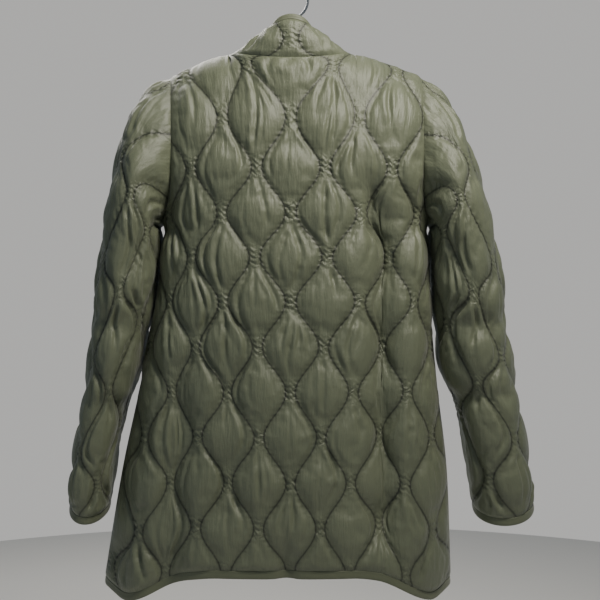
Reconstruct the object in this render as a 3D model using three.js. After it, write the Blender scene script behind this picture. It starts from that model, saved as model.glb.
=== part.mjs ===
// A quilted jacket with a stand collar, hanging on a hanger with a wire hook.
// Sizes are in millimetres and +Z is up. The wearer's front faces -Y and the wearer's left is +X.
// The origin is inside the top of the hook, where a rail would carry it.
import * as THREE from 'three';

// Cloth
const STITCH_THICK = 2.4; // the padded wall along a line of quilting
const PUFF_RISE = 8.2; // how much further the widest cell stands out
const SEAM_THICK = 2.8; // the wall where it is sewn to the next piece
const SEAM_FADE = 15; // how far from a seam the padding reaches its full height
const CORNER_REACH = 4; // where two seams are this much alike in distance, both count
const SEAM_GAP = 0.3;

// Quilting: wavy lines that meet nearly in pairs, so that the cells are onion shaped
const CELL_PITCH = 104;
const WAVE_LENGTH = 126;
const WAVE_SWING = 18;
const LINE_STEP = CELL_PITCH / 2;
const COLUMNS_PER_LINE = 3;
const ROW_HEIGHT = 23;

// Body
const HEM_BACK_Z = -826;
const HEM_FRONT_Z = -836;
const NECK_BACK = { y: 50, z: -123 };
const NECK_FRONT = { y: -70, z: -190 };
const NECK_POINT = { x: 86, y: -2, z: -108 };
const NECK_SHARE = 0.48; // the share of the top edge, from the centre line, that is neck
const NECK_CENTRE_Y = -8;
const UNDERARM = 0.69; // the level where the side seam ends and the armhole starts
const SHOULDER_FADE = 0.76; // the level where the panel starts to round over to the shoulder
const BACK_LENGTH = 722;
const CELL_BELOW_NECK = 32; // from the back neck seam to the middle of the first cell
const CORNER_SAG = 14;

// Levels of the body from hem (0) to shoulder (1): half widths on the wearer's left and right, the
// depth at the centre line, the depth and height at the side seam or armhole, the half width of the
// flat cut, and how much the flat cut crowds towards the side.
const LEVELS = [
  { at: 0.0, left: 266, right: 227, midBack: 86, midFront: -80, edgeBack: -6, edgeFront: -6,
    edgeZ: -858, cutLeft: 326, cutRight: 306, crowd: 0.03 },
  { at: 0.2, left: 240, right: 221, midBack: 84, midFront: -80, edgeBack: -6, edgeFront: -6,
    edgeZ: -700, cutLeft: 312, cutRight: 300, crowd: 0.06 },
  { at: 0.36, left: 214, right: 207, midBack: 80, midFront: -78, edgeBack: -6, edgeFront: -6,
    edgeZ: -578, cutLeft: 290, cutRight: 286, crowd: 0.14 },
  { at: 0.52, left: 192, right: 197, midBack: 76, midFront: -76, edgeBack: -6, edgeFront: -6,
    edgeZ: -462, cutLeft: 262, cutRight: 266, crowd: 0.24 },
  { at: 0.63, left: 182, right: 194, midBack: 74, midFront: -75, edgeBack: -6, edgeFront: -6,
    edgeZ: -382, cutLeft: 244, cutRight: 256, crowd: 0.28 },
  { at: 0.665, left: 178, right: 191, midBack: 73, midFront: -75, edgeBack: -6, edgeFront: -6,
    edgeZ: -360, cutLeft: 240, cutRight: 252, crowd: 0.26 },
  { at: 0.69, left: 183, right: 195, midBack: 73, midFront: -75, edgeBack: -6, edgeFront: -6,
    edgeZ: -345, cutLeft: 236, cutRight: 248, crowd: 0.2 },
  { at: 0.76, left: 170, right: 186, midBack: 71, midFront: -74, edgeBack: 36, edgeFront: -46,
    edgeZ: -300, cutLeft: 200, cutRight: 216, crowd: 0.06 },
  { at: 0.84, left: 167, right: 185, midBack: 67, midFront: -73, edgeBack: 46, edgeFront: -54,
    edgeZ: -240, cutLeft: 188, cutRight: 206, crowd: 0 },
  { at: 0.92, left: 169, right: 186, midBack: 60, midFront: -72, edgeBack: 36, edgeFront: -44,
    edgeZ: -185, cutLeft: 180, cutRight: 198, crowd: 0 },
  { at: 0.97, left: 172, right: 187, midBack: 54, midFront: -71, edgeBack: 16, edgeFront: -24,
    edgeZ: -155, cutLeft: 178, cutRight: 194, crowd: 0 },
  { at: 1.0, left: 174, right: 188, midBack: 50, midFront: -70, edgeBack: -4, edgeFront: -4,
    edgeZ: -142, cutLeft: 178, cutRight: 194, crowd: 0 },
];

// Folds of the hanging cloth, on the back and the front. `across` is the place from the centre line
// to the side (+ is the wearer's left), `wide` is in the same measure, and a minus depth is a ridge.
const BACK_FOLDS = [
  { across: -0.54, wide: 0.1, depth: 24, from: 0.0, to: 0.84 },
  { across: -0.78, wide: 0.12, depth: -7, from: 0.0, to: 0.7 },
  { across: 0.34, wide: 0.09, depth: 7, from: 0.0, to: 0.5 },
  { across: 0.62, wide: 0.1, depth: 12, from: -0.2, to: 0.46 },
  { across: 0.02, wide: 0.05, depth: 9, from: -0.2, to: 0.18 },
  { across: 0.8, wide: 0.1, depth: -6, from: -0.2, to: 0.6 },
];
const FRONT_FOLDS = [
  { across: -0.56, wide: 0.11, depth: 16, from: -0.1, to: 0.74 },
  { across: 0.58, wide: 0.11, depth: 19, from: -0.1, to: 0.7 },
  { across: 0.32, wide: 0.1, depth: 6, from: -0.2, to: 0.5 },
];

// Sleeve sections from armhole (0) to cuff (1), seen from the back: the outer and the inner end of
// each section, its half depth, the depth of its middle, how much lower its back is, and the half
// width of the flat cut.
const LEFT_SLEEVE = [
  { at: 0.0, outX: 174, outZ: -142, inX: 183, inZ: -345, deep: 50, mid: -4, low: 0, cut: 196 },
  { at: 0.07, outX: 203, outZ: -164, inX: 194, inZ: -352, deep: 62, mid: -4, low: 0, cut: 204 },
  { at: 0.16, outX: 229, outZ: -210, inX: 197, inZ: -366, deep: 74, mid: -4, low: 0, cut: 212 },
  { at: 0.28, outX: 248, outZ: -290, inX: 195, inZ: -400, deep: 78, mid: -4, low: 0, cut: 214 },
  { at: 0.45, outX: 271, outZ: -430, inX: 205, inZ: -470, deep: 74, mid: -6, low: 0, cut: 200 },
  { at: 0.65, outX: 284, outZ: -560, inX: 233, inZ: -578, deep: 66, mid: -8, low: 4, cut: 180 },
  { at: 0.82, outX: 303, outZ: -668, inX: 258, inZ: -672, deep: 58, mid: -10, low: 8, cut: 162 },
  { at: 1.0, outX: 316, outZ: -746, inX: 266, inZ: -752, deep: 50, mid: -12, low: 14, cut: 148 },
];
const RIGHT_SLEEVE = [
  { at: 0.0, outX: 188, outZ: -142, inX: 195, inZ: -345, deep: 50, mid: -4, low: 0, cut: 196 },
  { at: 0.07, outX: 216, outZ: -172, inX: 205, inZ: -352, deep: 62, mid: -4, low: 0, cut: 204 },
  { at: 0.16, outX: 240, outZ: -220, inX: 208, inZ: -366, deep: 74, mid: -4, low: 0, cut: 212 },
  { at: 0.28, outX: 266, outZ: -298, inX: 207, inZ: -400, deep: 76, mid: -4, low: 0, cut: 214 },
  { at: 0.45, outX: 296, outZ: -430, inX: 212, inZ: -474, deep: 70, mid: -6, low: 0, cut: 202 },
  { at: 0.6, outX: 306, outZ: -528, inX: 219, inZ: -546, deep: 64, mid: -8, low: 3, cut: 186 },
  { at: 0.74, outX: 321, outZ: -606, inX: 243, inZ: -612, deep: 58, mid: -10, low: 6, cut: 172 },
  { at: 0.87, outX: 334, outZ: -680, inX: 258, inZ: -686, deep: 52, mid: -12, low: 10, cut: 160 },
  { at: 1.0, outX: 347, outZ: -746, inX: 266, inZ: -754, deep: 46, mid: -14, low: 16, cut: 150 },
];
const SLEEVE_LENGTH = 650;
const CAP_HEIGHT = 205;
const ARMHOLE_BLEND = 0.2;
const ARMHOLE_CENTRE = { y: -4, z: -240 };

// Sleeve folds: `around` goes from the crown (0) to the underarm (1 at the back, -1 at the front)
const SLEEVE_FOLDS = [
  { around: 0.34, wide: 0.1, depth: 8, at: 0.1, long: 0.1 },
  { around: 0.62, wide: 0.14, depth: 9, at: 0.34, long: 0.06 },
  { around: 0.4, wide: 0.3, depth: 7, at: 0.52, long: 0.035 },
  { around: 0.6, wide: 0.3, depth: 6, at: 0.7, long: 0.03 },
  { around: -0.5, wide: 0.3, depth: 8, at: 0.5, long: 0.04 },
  { around: -0.4, wide: 0.16, depth: 7, at: 0.12, long: 0.08 },
];

// Collar: the top edge is a narrower, longer ring than the neck
const COLLAR_TOP = { half: 40, backY: 44, frontY: -92, backZ: -65, frontZ: -142 };
const COLLAR_SIDE_DIP = 12;
const COLLAR_BULGE = 2;
const COLLAR_HEIGHT = 60;
const COLLAR_CUT = 205; // the flat half length
const COLLAR_CELL = 93; // from the neck seam up to the middle of a cell on the centre back line
const COLLAR_END = 2.5; // from the centre front to each end of the collar

// Bound edges and the front opening
const BINDING_WIDE = 10;
const STRIP_START = 0.6; // where a strip starts past the edge that it is sewn to
const BINDING_THICK = 4.6;
const BAND_HALF = 13; // the half width of the plain front bands
const UNDER_BAND_DROP = 6.2; // how far inside the upper band the lower band lies
const BAND_BLEND = 0.3;
const BAND_TOP_DROP = 10; // the bands end this far below the neck seam

// Press studs
const STUD_COUNT = 6;
const STUD_RADIUS = 6.2;
const STUD_HEIGHT = 2.6;
const STUD_SIDES = 20;

// Hanger
const WIRE_RADIUS = 1.9;
const HOOK_RADIUS = 26;
const HOOK_ARC_STEPS = 5; // for each half of the wire's section
const HOOK_STEPS = 36;
const HANGER_TOP_Z = -98;
const HANGER_REACH = 160;
const HANGER_HALF_THICK = 4.2;
const HANGER_TALL = 20;
const HANGER_STEPS = 16;
const HANGER_NECK_HALF = 45;
const HANGER_NECK_CLEAR = 6; // how far the arms pass below the collar seam

const CLOTH_COLOUR = 0x666a55;
const BINDING_COLOUR = 0x5b5f4b;
const STUD_COLOUR = 0x4d5040;
const STEEL_COLOUR = 0xc4c6c8;
const HANGER_COLOUR = 0x2b2b2c;

// A smooth curve through one named column of a table
function columnOf(table, name) {
  const at = table.map((row) => row.at);
  const value = table.map((row) => row[name]);
  const last = at.length - 1;
  const slope = value.map((_, i) => {
    const before = Math.max(i - 1, 0);
    const after = Math.min(i + 1, last);
    return (value[after] - value[before]) / (at[after] - at[before]);
  });
  return (where) => {
    const x = Math.min(Math.max(where, at[0]), at[last]);
    let i = 0;
    while (i < last - 1 && x > at[i + 1]) i += 1;
    const span = at[i + 1] - at[i];
    const t = (x - at[i]) / span;
    const rise = t * t * (3 - 2 * t);
    const leave = t * (1 - t) * (1 - t) * span * slope[i];
    const arrive = t * t * (1 - t) * span * slope[i + 1];
    return value[i] + (value[i + 1] - value[i]) * rise + leave - arrive;
  };
}

function columnsOf(table) {
  const names = Object.keys(table[0]).filter((name) => name !== 'at');
  return Object.fromEntries(names.map((name) => [name, columnOf(table, name)]));
}

function smooth(from, to, x) {
  const t = Math.min(Math.max((x - from) / (to - from), 0), 1);
  return t * t * (3 - 2 * t);
}

function mix(a, b, t) {
  return a + (b - a) * t;
}

function unit(x, y, z) {
  return new THREE.Vector3(x, y, z).normalize();
}

const level = columnsOf(LEVELS);
const sleeveOf = { left: columnsOf(LEFT_SLEEVE), right: columnsOf(RIGHT_SLEEVE) };

// The top edge of a body panel: the neck curve, then the shoulder seam
function topEdge(face, side, f) {
  const half = side > 0 ? level.left(1) : level.right(1);
  const neck = face === 'back' ? NECK_BACK : NECK_FRONT;
  if (f < NECK_SHARE) {
    const turn = (Math.PI / 2) * (f / NECK_SHARE);
    const inward = Math.cos(turn);
    return new THREE.Vector3(
      side * NECK_POINT.x * Math.sin(turn),
      mix(NECK_POINT.y, neck.y, inward),
      mix(NECK_POINT.z, neck.z, inward * (face === 'back' ? inward : 1)),
    );
  }
  const out = (f - NECK_SHARE) / (1 - NECK_SHARE);
  return new THREE.Vector3(
    side * mix(NECK_POINT.x, half, out),
    mix(NECK_POINT.y, level.edgeBack(1), out),
    mix(NECK_POINT.z, level.edgeZ(1), 0.5 * out + 0.5 * out * out),
  );
}

function foldDepth(folds, across, q) {
  let depth = 0;
  for (const fold of folds) {
    const off = (across - fold.across) / fold.wide;
    const length = smooth(fold.from, fold.from + 0.12, q) * (1 - smooth(fold.to - 0.2, fold.to, q));
    depth += fold.depth * Math.exp(-off * off) * length;
  }
  return depth;
}

// A point of the body's inside. `f` goes from the centre line (0) to the side (1).
function bodyInside(face, side, f, q) {
  const back = face === 'back';
  const half = side > 0 ? level.left(q) : level.right(q);
  const crowd = level.crowd(q);
  const middle = back ? level.midBack(q) : level.midFront(q);
  const edge = back ? level.edgeBack(q) : level.edgeFront(q);
  const middleZ = back ? mix(HEM_BACK_Z, NECK_BACK.z, q) : mix(HEM_FRONT_Z, NECK_FRONT.z, q);
  const round = Math.pow(Math.max(1 - Math.pow(f, 2.8), 0), 0.72);
  const lowered = smooth(0.35, 1, f);
  const sag = CORNER_SAG * (smooth(0.5, 0.84, f) - smooth(0.84, 1, f)) * (1 - smooth(0, 0.4, q));
  const folds = foldDepth(back ? BACK_FOLDS : FRONT_FOLDS, side * f, q) * (1 - smooth(0.86, 1, f));
  const point = new THREE.Vector3(
    side * half * f * (1 + crowd * (1 - f * f)),
    mix(edge, middle, round) - (back ? folds : -folds),
    mix(middleZ, level.edgeZ(q), lowered) - sag,
  );
  const over = Math.max((q - SHOULDER_FADE) / (1 - SHOULDER_FADE), 0);
  const plainTop = new THREE.Vector3(
    side * half * f,
    mix(edge, middle, round),
    mix(middleZ, level.edgeZ(q), lowered),
  );
  const shift = topEdge(face, side, f).sub(plainTop).multiplyScalar(over * over * over);
  return point.add(shift);
}

function sleevePoint(side, f, w) {
  const ring = side > 0 ? sleeveOf.left : sleeveOf.right;
  const at = (where) => {
    const cos = Math.cos(Math.PI * f);
    const sin = Math.sin(Math.PI * f);
    return new THREE.Vector3(
      side * mix(ring.inX(where), ring.outX(where), 0.5 + 0.5 * cos),
      ring.mid(where) + ring.deep(where) * sin,
      mix(ring.inZ(where), ring.outZ(where), 0.5 + 0.5 * cos) - ring.low(where) * sin,
    );
  };
  const point = at(w);
  const fade = Math.max(1 - w / ARMHOLE_BLEND, 0);
  if (fade > 0) {
    const q = armholeLevel(f);
    const seam = bodyInside(f >= 0 ? 'back' : 'front', side, 1, q);
    point.add(seam.sub(at(0)).multiplyScalar(fade * fade));
  }
  const middle = new THREE.Vector3(
    (side * (ring.inX(w) + ring.outX(w))) / 2,
    ring.mid(w),
    (ring.inZ(w) + ring.outZ(w)) / 2,
  );
  let depth = 0;
  for (const fold of SLEEVE_FOLDS) {
    const off = (f - fold.around) / fold.wide;
    const down = (w - fold.at) / fold.long;
    depth += fold.depth * Math.exp(-off * off - down * down) * smooth(0, 0.06, w);
  }
  return point.add(middle.sub(point).normalize().multiplyScalar(depth));
}

// The level of the body where a place round the armhole lies, and the other way round
function armholeLevel(f) {
  return 1 - ((1 - UNDERARM) * (1 - Math.cos(Math.PI * Math.abs(f)))) / 2;
}

function armholeTurn(q) {
  return Math.acos(1 - (2 * (1 - q)) / (1 - UNDERARM)) / Math.PI;
}

// The collar: `f` goes from the centre back (0) to the ends at the centre front (1 and -1)
function collarPoint(f, w) {
  const side = f < 0 ? -1 : 1;
  const far = Math.abs(f);
  const base = neckSeam(side, far);
  const turn = Math.PI * far;
  const cos = Math.cos(turn);
  const sin = Math.sin(turn);
  const top = new THREE.Vector3(
    side * COLLAR_TOP.half * Math.pow(sin, 0.7),
    mix(COLLAR_TOP.frontY, COLLAR_TOP.backY, 0.5 + 0.5 * cos),
    mix(COLLAR_TOP.frontZ, COLLAR_TOP.backZ, smooth(0, 1, 0.5 + 0.5 * cos)) - COLLAR_SIDE_DIP * sin,
  );
  const point = base.clone().lerp(top, w);
  const out = new THREE.Vector3(point.x, (point.y - NECK_CENTRE_Y) * 0.7, 0).normalize();
  return point.add(out.multiplyScalar(COLLAR_BULGE * Math.sin(Math.PI * w)));
}

// The neck seam as one curve: half of it runs along the back neck, half along the front neck
function neckSeam(side, far) {
  const onBack = far <= 0.5;
  const f = NECK_SHARE * (onBack ? far * 2 : (1 - far) * 2);
  return bodyInside(onBack ? 'back' : 'front', side, f, 1);
}

// Directions in which the wall stands out along the seams, shared by the pieces that meet there
const seamOut = {
  side: (side, q) => {
    const down = smooth(UNDERARM - 0.06, UNDERARM, q);
    return unit(side * (1 - down), 0, -down);
  },
  hem: (out) => unit(out.x, out.y, 0),
  shoulder: (side, f, point) => {
    const nearNeck = 1 - smooth(NECK_SHARE, NECK_SHARE + 0.2, f);
    const slope = 0.28 * (1 - smooth(0.85, 1, f));
    return unit(side * slope, 0, 1).lerp(seamOut.neck(point), nearNeck).normalize();
  },
  neck: (point) => unit(point.x / 86, (point.y - NECK_CENTRE_Y) / 58, 0.7),
  armhole: (point) => unit(0, (point.y - ARMHOLE_CENTRE.y) / 50, (point.z - ARMHOLE_CENTRE.z) / 100),
};

// Across the flat cloth, the line of quilting with a whole number lies at this place
function quiltLine(line, height) {
  const swing = WAVE_SWING * Math.cos((2 * Math.PI * height) / WAVE_LENGTH);
  return (line + 0.5) * LINE_STEP + (line % 2 === 0 ? swing : -swing);
}

function quiltPlace(across, height) {
  let line = Math.floor(across / LINE_STEP - 0.5);
  while (quiltLine(line, height) > across) line -= 1;
  while (quiltLine(line + 1, height) <= across) line += 1;
  const from = quiltLine(line, height);
  return line + (across - from) / (quiltLine(line + 1, height) - from);
}

function quiltAcross(place, height) {
  const line = Math.floor(place);
  return mix(quiltLine(line, height), quiltLine(line + 1, height), place - line);
}

// How far the padding stands out at a place of the flat cloth, `inside` mm from the nearest seam
function quiltThick(across, height, inside) {
  const place = quiltPlace(across, height);
  const line = Math.floor(place);
  const width = quiltLine(line + 1, height) - quiltLine(line, height);
  const size = Math.pow(width / (LINE_STEP + 2 * WAVE_SWING), 0.8);
  const dome = Math.pow(Math.abs(Math.sin(Math.PI * (place - line))), 0.7);
  const puffed = STITCH_THICK + PUFF_RISE * size * dome;
  return mix(SEAM_THICK, puffed, smooth(0, SEAM_FADE, inside));
}

// Triangles between two rows of points, in step with the quilting that both follow
function zipRows(lower, upper, faces) {
  let i = 0;
  let j = 0;
  while (i < lower.length - 1 || j < upper.length - 1) {
    const lowerKey = i < lower.length - 1 ? lower[i + 1].key : Infinity;
    const upperKey = j < upper.length - 1 ? upper[j + 1].key : Infinity;
    const lowerNext = j === upper.length - 1 || (i < lower.length - 1 && lowerKey <= upperKey);
    if (lowerNext) {
      faces.push([lower[i].index, lower[i + 1].index, upper[j].index]);
      i += 1;
    } else {
      faces.push([lower[i].index, upper[j + 1].index, upper[j].index]);
      j += 1;
    }
  }
}

function zipPairs(first, second, faces) {
  for (let i = 0; i < first.length - 1; i += 1) {
    faces.push([first[i], first[i + 1], second[i + 1]], [first[i], second[i + 1], second[i]]);
  }
}

function closedMesh(name, points, faces, material) {
  const volume = faces.reduce((sum, [a, b, c]) => {
    const across = new THREE.Vector3().crossVectors(points[b], points[c]);
    return sum + points[a].dot(across);
  }, 0);
  const turned = volume < 0 ? faces.map(([a, b, c]) => [a, c, b]) : faces;
  const geometry = new THREE.BufferGeometry();
  geometry.setAttribute('position', new THREE.Float32BufferAttribute(points.flatMap((p) => p.toArray()), 3));
  geometry.setIndex(turned.flat());
  geometry.computeVertexNormals();
  const mesh = new THREE.Mesh(geometry, material);
  mesh.name = name;
  return mesh;
}

// The surface direction, from the points beside a place
function surfaceOut(panel, u, v) {
  const step = 0.004;
  const [u0, u1] = [Math.max(u - step, panel.uLow), Math.min(u + step, panel.uHigh)];
  const [v0, v1] = [Math.max(v - step, 0), Math.min(v + step, 1)];
  const along = panel.inside(u1, v).sub(panel.inside(u0, v));
  const up = panel.inside(u, v1).sub(panel.inside(u, v0));
  return along.cross(up).normalize().multiplyScalar(panel.turn);
}

// A padded wall. The panel says where its inside lies, its flat cut, its seams and its stations:
// the places of the points along its first and last rows.
function quiltedWall(name, panel, material) {
  const points = [];
  const faces = [];
  const rows = panel.levels.length - 1;
  const addPair = (u, v) => {
    const [across, height] = panel.flat(u, v);
    const inner = panel.inside(u, v);
    const edge = panel.seam(u, v, inner);
    const own = surfaceOut(panel, u, v);
    const out = edge.out ? edge.out.clone().lerp(own, smooth(0, SEAM_FADE, edge.away)).normalize() : own;
    const thick = quiltThick(across, height, edge.away);
    points.push(inner, inner.clone().addScaledVector(out, thick));
    return points.length - 2;
  };
  const makeRow = (r) => {
    const v = panel.levels[r];
    const stations = r === 0 ? panel.bottom : r === rows ? panel.top : null;
    const row = [];
    if (stations) {
      for (const u of stations) row.push({ u, key: quiltPlace(...panel.flat(u, v)), coarse: true });
      row.at(-1).key = Infinity;
    } else {
      const low = quiltPlace(...panel.flat(panel.uLow, v));
      const high = quiltPlace(...panel.flat(panel.uHigh, v));
      row.push({ u: panel.uLow, key: -Infinity, coarse: true });
      for (let k = Math.ceil(low * COLUMNS_PER_LINE); k <= high * COLUMNS_PER_LINE; k += 1) {
        const u = panel.columnAt(k / COLUMNS_PER_LINE, v);
        if (u > panel.uLow + panel.margin && u < panel.uHigh - panel.margin) {
          const onLine = k % COLUMNS_PER_LINE === 0;
          row.push({ u, key: k / COLUMNS_PER_LINE, coarse: onLine || Math.abs(u) > panel.roundFrom });
        }
      }
      row.push({ u: panel.uHigh, key: Infinity, coarse: true });
    }
    for (const item of row) item.pair = addPair(item.u, v);
    return row;
  };
  const grid = panel.levels.map((_, r) => makeRow(r));
  const skin = (row, side, some) => {
    const kept = some ? row.filter((item) => item.coarse) : row;
    return kept.map((item) => ({ key: item.key, index: item.pair + side }));
  };
  for (let r = 0; r < rows; r += 1) zipRows(skin(grid[r], 1), skin(grid[r + 1], 1), faces);
  const inner = [];
  let below = 0;
  while (below < rows) {
    const above = below + 2 <= rows ? below + 2 : rows;
    zipRows(skin(grid[below], 0, true), skin(grid[above], 0, true), inner);
    if (above === below + 2) {
      const [first, middle, last] = [grid[below], grid[below + 1], grid[above]];
      inner.push([first[0].pair, last[0].pair, middle[0].pair]);
      inner.push([first.at(-1).pair, middle.at(-1).pair, last.at(-1).pair]);
    }
    below = above;
  }
  for (const [a, b, c] of inner) faces.push([a, c, b]);
  const rim = (items) => [items.map((item) => item.pair), items.map((item) => item.pair + 1)];
  const addRim = (items) => zipPairs(...rim(items), faces);
  addRim(grid[0]);
  addRim([...grid[rows]].reverse());
  addRim(grid.map((row) => row[0]).reverse());
  addRim(grid.map((row) => row.at(-1)));
  // points that only the plain inside leaves unused are dropped
  return closedMesh(name, ...usedOnly(points, faces), material);
}

function usedOnly(points, faces) {
  const place = new Map();
  const kept = [];
  const moved = faces.map((face) =>
    face.map((index) => {
      if (!place.has(index)) {
        place.set(index, kept.length);
        kept.push(points[index]);
      }
      return place.get(index);
    }),
  );
  return [kept, moved];
}

// Levels of the rows: even steps below the underarm and again above it
function bodyLevels(from, to) {
  const low = Math.round(((UNDERARM - from) * BACK_LENGTH) / ROW_HEIGHT);
  const high = Math.round(((to - UNDERARM) * BACK_LENGTH) / ROW_HEIGHT);
  const levels = [];
  for (let i = 0; i <= low; i += 1) levels.push(mix(from, UNDERARM, i / low));
  for (let i = 1; i <= high; i += 1) levels.push(mix(UNDERARM, to, i / high));
  return levels;
}

const HALF_GAP = SEAM_GAP / 2;
const VALLEY_GAP = 0.95; // at a seam in a hollow, where two padded walls lean towards each other
const BODY_LEVELS = bodyLevels(HALF_GAP / BACK_LENGTH, 1 - HALF_GAP / BACK_LENGTH);
const ARM_LEVELS = BODY_LEVELS.filter((q) => q > UNDERARM - 1e-6);

function evenly(from, to, count) {
  return Array.from({ length: count + 1 }, (_, i) => mix(from, to, i / count));
}

// Stations along the top edge, shared by back, front and collar, and along the hem
const NECK_STATIONS = 7;
const SHOULDER_STATIONS = 6;
const HEM_STATIONS = 16;
const SIDE_END = 1 - HALF_GAP / 200;
const TOP_HALF = [
  ...evenly(0, NECK_SHARE, NECK_STATIONS),
  ...evenly(NECK_SHARE, SIDE_END, SHOULDER_STATIONS).slice(1),
];
const HEM_HALF = evenly(0, SIDE_END, HEM_STATIONS);

function mirrored(stations) {
  return [...stations.slice(1).map((f) => -f).reverse(), ...stations];
}

// The flat cut of a body panel: across from the centre line and up from the back neck
function bodyFlat(face, side, f, q) {
  const cut = side > 0 ? level.cutLeft(q) : level.cutRight(q);
  const middleZ = face === 'back' ? mix(HEM_BACK_Z, NECK_BACK.z, q) : mix(HEM_FRONT_Z, NECK_FRONT.z, q);
  const lean = mix(middleZ, level.edgeZ(q), smooth(0.35, 1, f)) - mix(HEM_BACK_Z, NECK_BACK.z, q);
  return [side * f * cut, (q - 1) * BACK_LENGTH + CELL_BELOW_NECK + lean];
}

// The nearest seam of a body panel: how far away it is, and which way the walls stand there
function bodySeam(face, side, f, q, point, centreEdge) {
  const half = side > 0 ? level.left(q) : level.right(q);
  const toSide = (1 - f) * half * 1.2;
  const toTop = (1 - q) * BACK_LENGTH;
  const toHem = q * BACK_LENGTH;
  const sideOut = q < UNDERARM + 1e-6 ? seamOut.side(side, q) : seamOut.armhole(point);
  const topOut = f < NECK_SHARE ? seamOut.neck(point) : seamOut.shoulder(side, f, point);
  const hemOut = unit(point.x * 0.35, face === 'back' ? 60 : -60, 0);
  const seams = [
    { away: toSide, out: sideOut },
    { away: toTop, out: topOut },
    { away: toHem, out: f > 0.9 ? sideOut : hemOut },
  ];
  if (centreEdge !== undefined) seams.push({ away: (f - centreEdge) * half, out: unit(0, -1, 0) });
  return nearestSeam(seams);
}

// At a corner both seams count, so the direction there is theirs together
function nearestSeam(seams) {
  const away = Math.min(...seams.map((seam) => seam.away));
  const out = new THREE.Vector3();
  for (const seam of seams) {
    const share = Math.max(1 - (seam.away - away) / CORNER_REACH, 0);
    out.addScaledVector(seam.out, share * share);
  }
  return { away, out: out.normalize() };
}

function solveColumn(panelFlat, widthAt, place, v, start) {
  let u = start;
  for (let i = 0; i < 12; i += 1) {
    const height = panelFlat(u, v)[1];
    u = quiltAcross(place, height) / widthAt(u, v);
  }
  return u;
}

function backPanel() {
  const sideOf = (u) => (u < 0 ? -1 : 1);
  const flat = (u, v) => bodyFlat('back', sideOf(u), Math.abs(u), v);
  const widthAt = (u, v) => (u < 0 ? level.cutRight(v) : level.cutLeft(v));
  return {
    levels: BODY_LEVELS,
    bottom: mirrored(HEM_HALF),
    top: mirrored(TOP_HALF),
    uLow: -SIDE_END,
    uHigh: SIDE_END,
    margin: 0.035,
    roundFrom: 0.55,
    turn: -1,
    inside: (u, v) => bodyInside('back', sideOf(u), Math.abs(u), v),
    flat,
    columnAt: (place, v) => solveColumn(flat, widthAt, place, v, place < 0 ? -0.01 : 0.01),
    seam: (u, v, point) => bodySeam('back', sideOf(u), Math.abs(u), v, point),
  };
}

// How far the edge of the left front lies inside the right front's band
function underBand(side, f) {
  return side > 0 ? UNDER_BAND_DROP * (1 - smooth(0, BAND_BLEND, f)) : 0;
}

function frontInside(side, f, q) {
  const point = bodyInside('front', side, f, q);
  point.y += underBand(side, f);
  return point;
}

function bandEdge(side, q) {
  const half = side > 0 ? level.left(q) : level.right(q);
  return BAND_HALF / (half * (1 + level.crowd(q)));
}

// A front runs from the plain band at the centre front to the side seam and the armhole. Its
// places are measured from the band (0) to the side (1).
function frontPanel(side) {
  const f = (u, v) => mix(bandEdge(side, v), 1, u);
  const flat = (u, v) => bodyFlat('front', side, f(u, v), v);
  const low = HALF_GAP / 200;
  const place = (stations, v) => {
    const edge = bandEdge(side, v);
    const beyond = stations.filter((s) => s > edge + 0.02).map((s) => (s - edge) / (1 - edge));
    return [low, ...beyond];
  };
  const columnAt = (line, v) => {
    const signed = line * side;
    const widthAt = () => (side > 0 ? level.cutLeft(v) : level.cutRight(v));
    const at = solveColumn((g) => bodyFlat('front', side, Math.abs(g), v), widthAt, signed, v, 0.01);
    return (at - bandEdge(side, v)) / (1 - bandEdge(side, v));
  };
  return {
    levels: BODY_LEVELS,
    bottom: place(HEM_HALF, BODY_LEVELS[0]),
    top: place(TOP_HALF, BODY_LEVELS.at(-1)),
    uLow: low,
    uHigh: SIDE_END,
    margin: 0.04,
    roundFrom: 0.55,
    turn: side,
    inside: (u, v) => frontInside(side, f(u, v), v),
    flat: (u, v) => {
      const [across, height] = flat(u, v);
      return [side * across, height];
    },
    columnAt: (line, v) => columnAt(line * side, v),
    seam: (u, v, point) => bodySeam('front', side, f(u, v), v, point, bandEdge(side, v)),
  };
}

// The flat sleeve: across from the crown line, up from the crown
function sleeveFlat(side, f, w) {
  const ring = side > 0 ? sleeveOf.left : sleeveOf.right;
  const cap = (CAP_HEIGHT * (1 - Math.cos(Math.PI * f))) / 2;
  return [f * ring.cut(w), -mix(cap, SLEEVE_LENGTH, w) + WAVE_LENGTH / 4];
}

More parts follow.
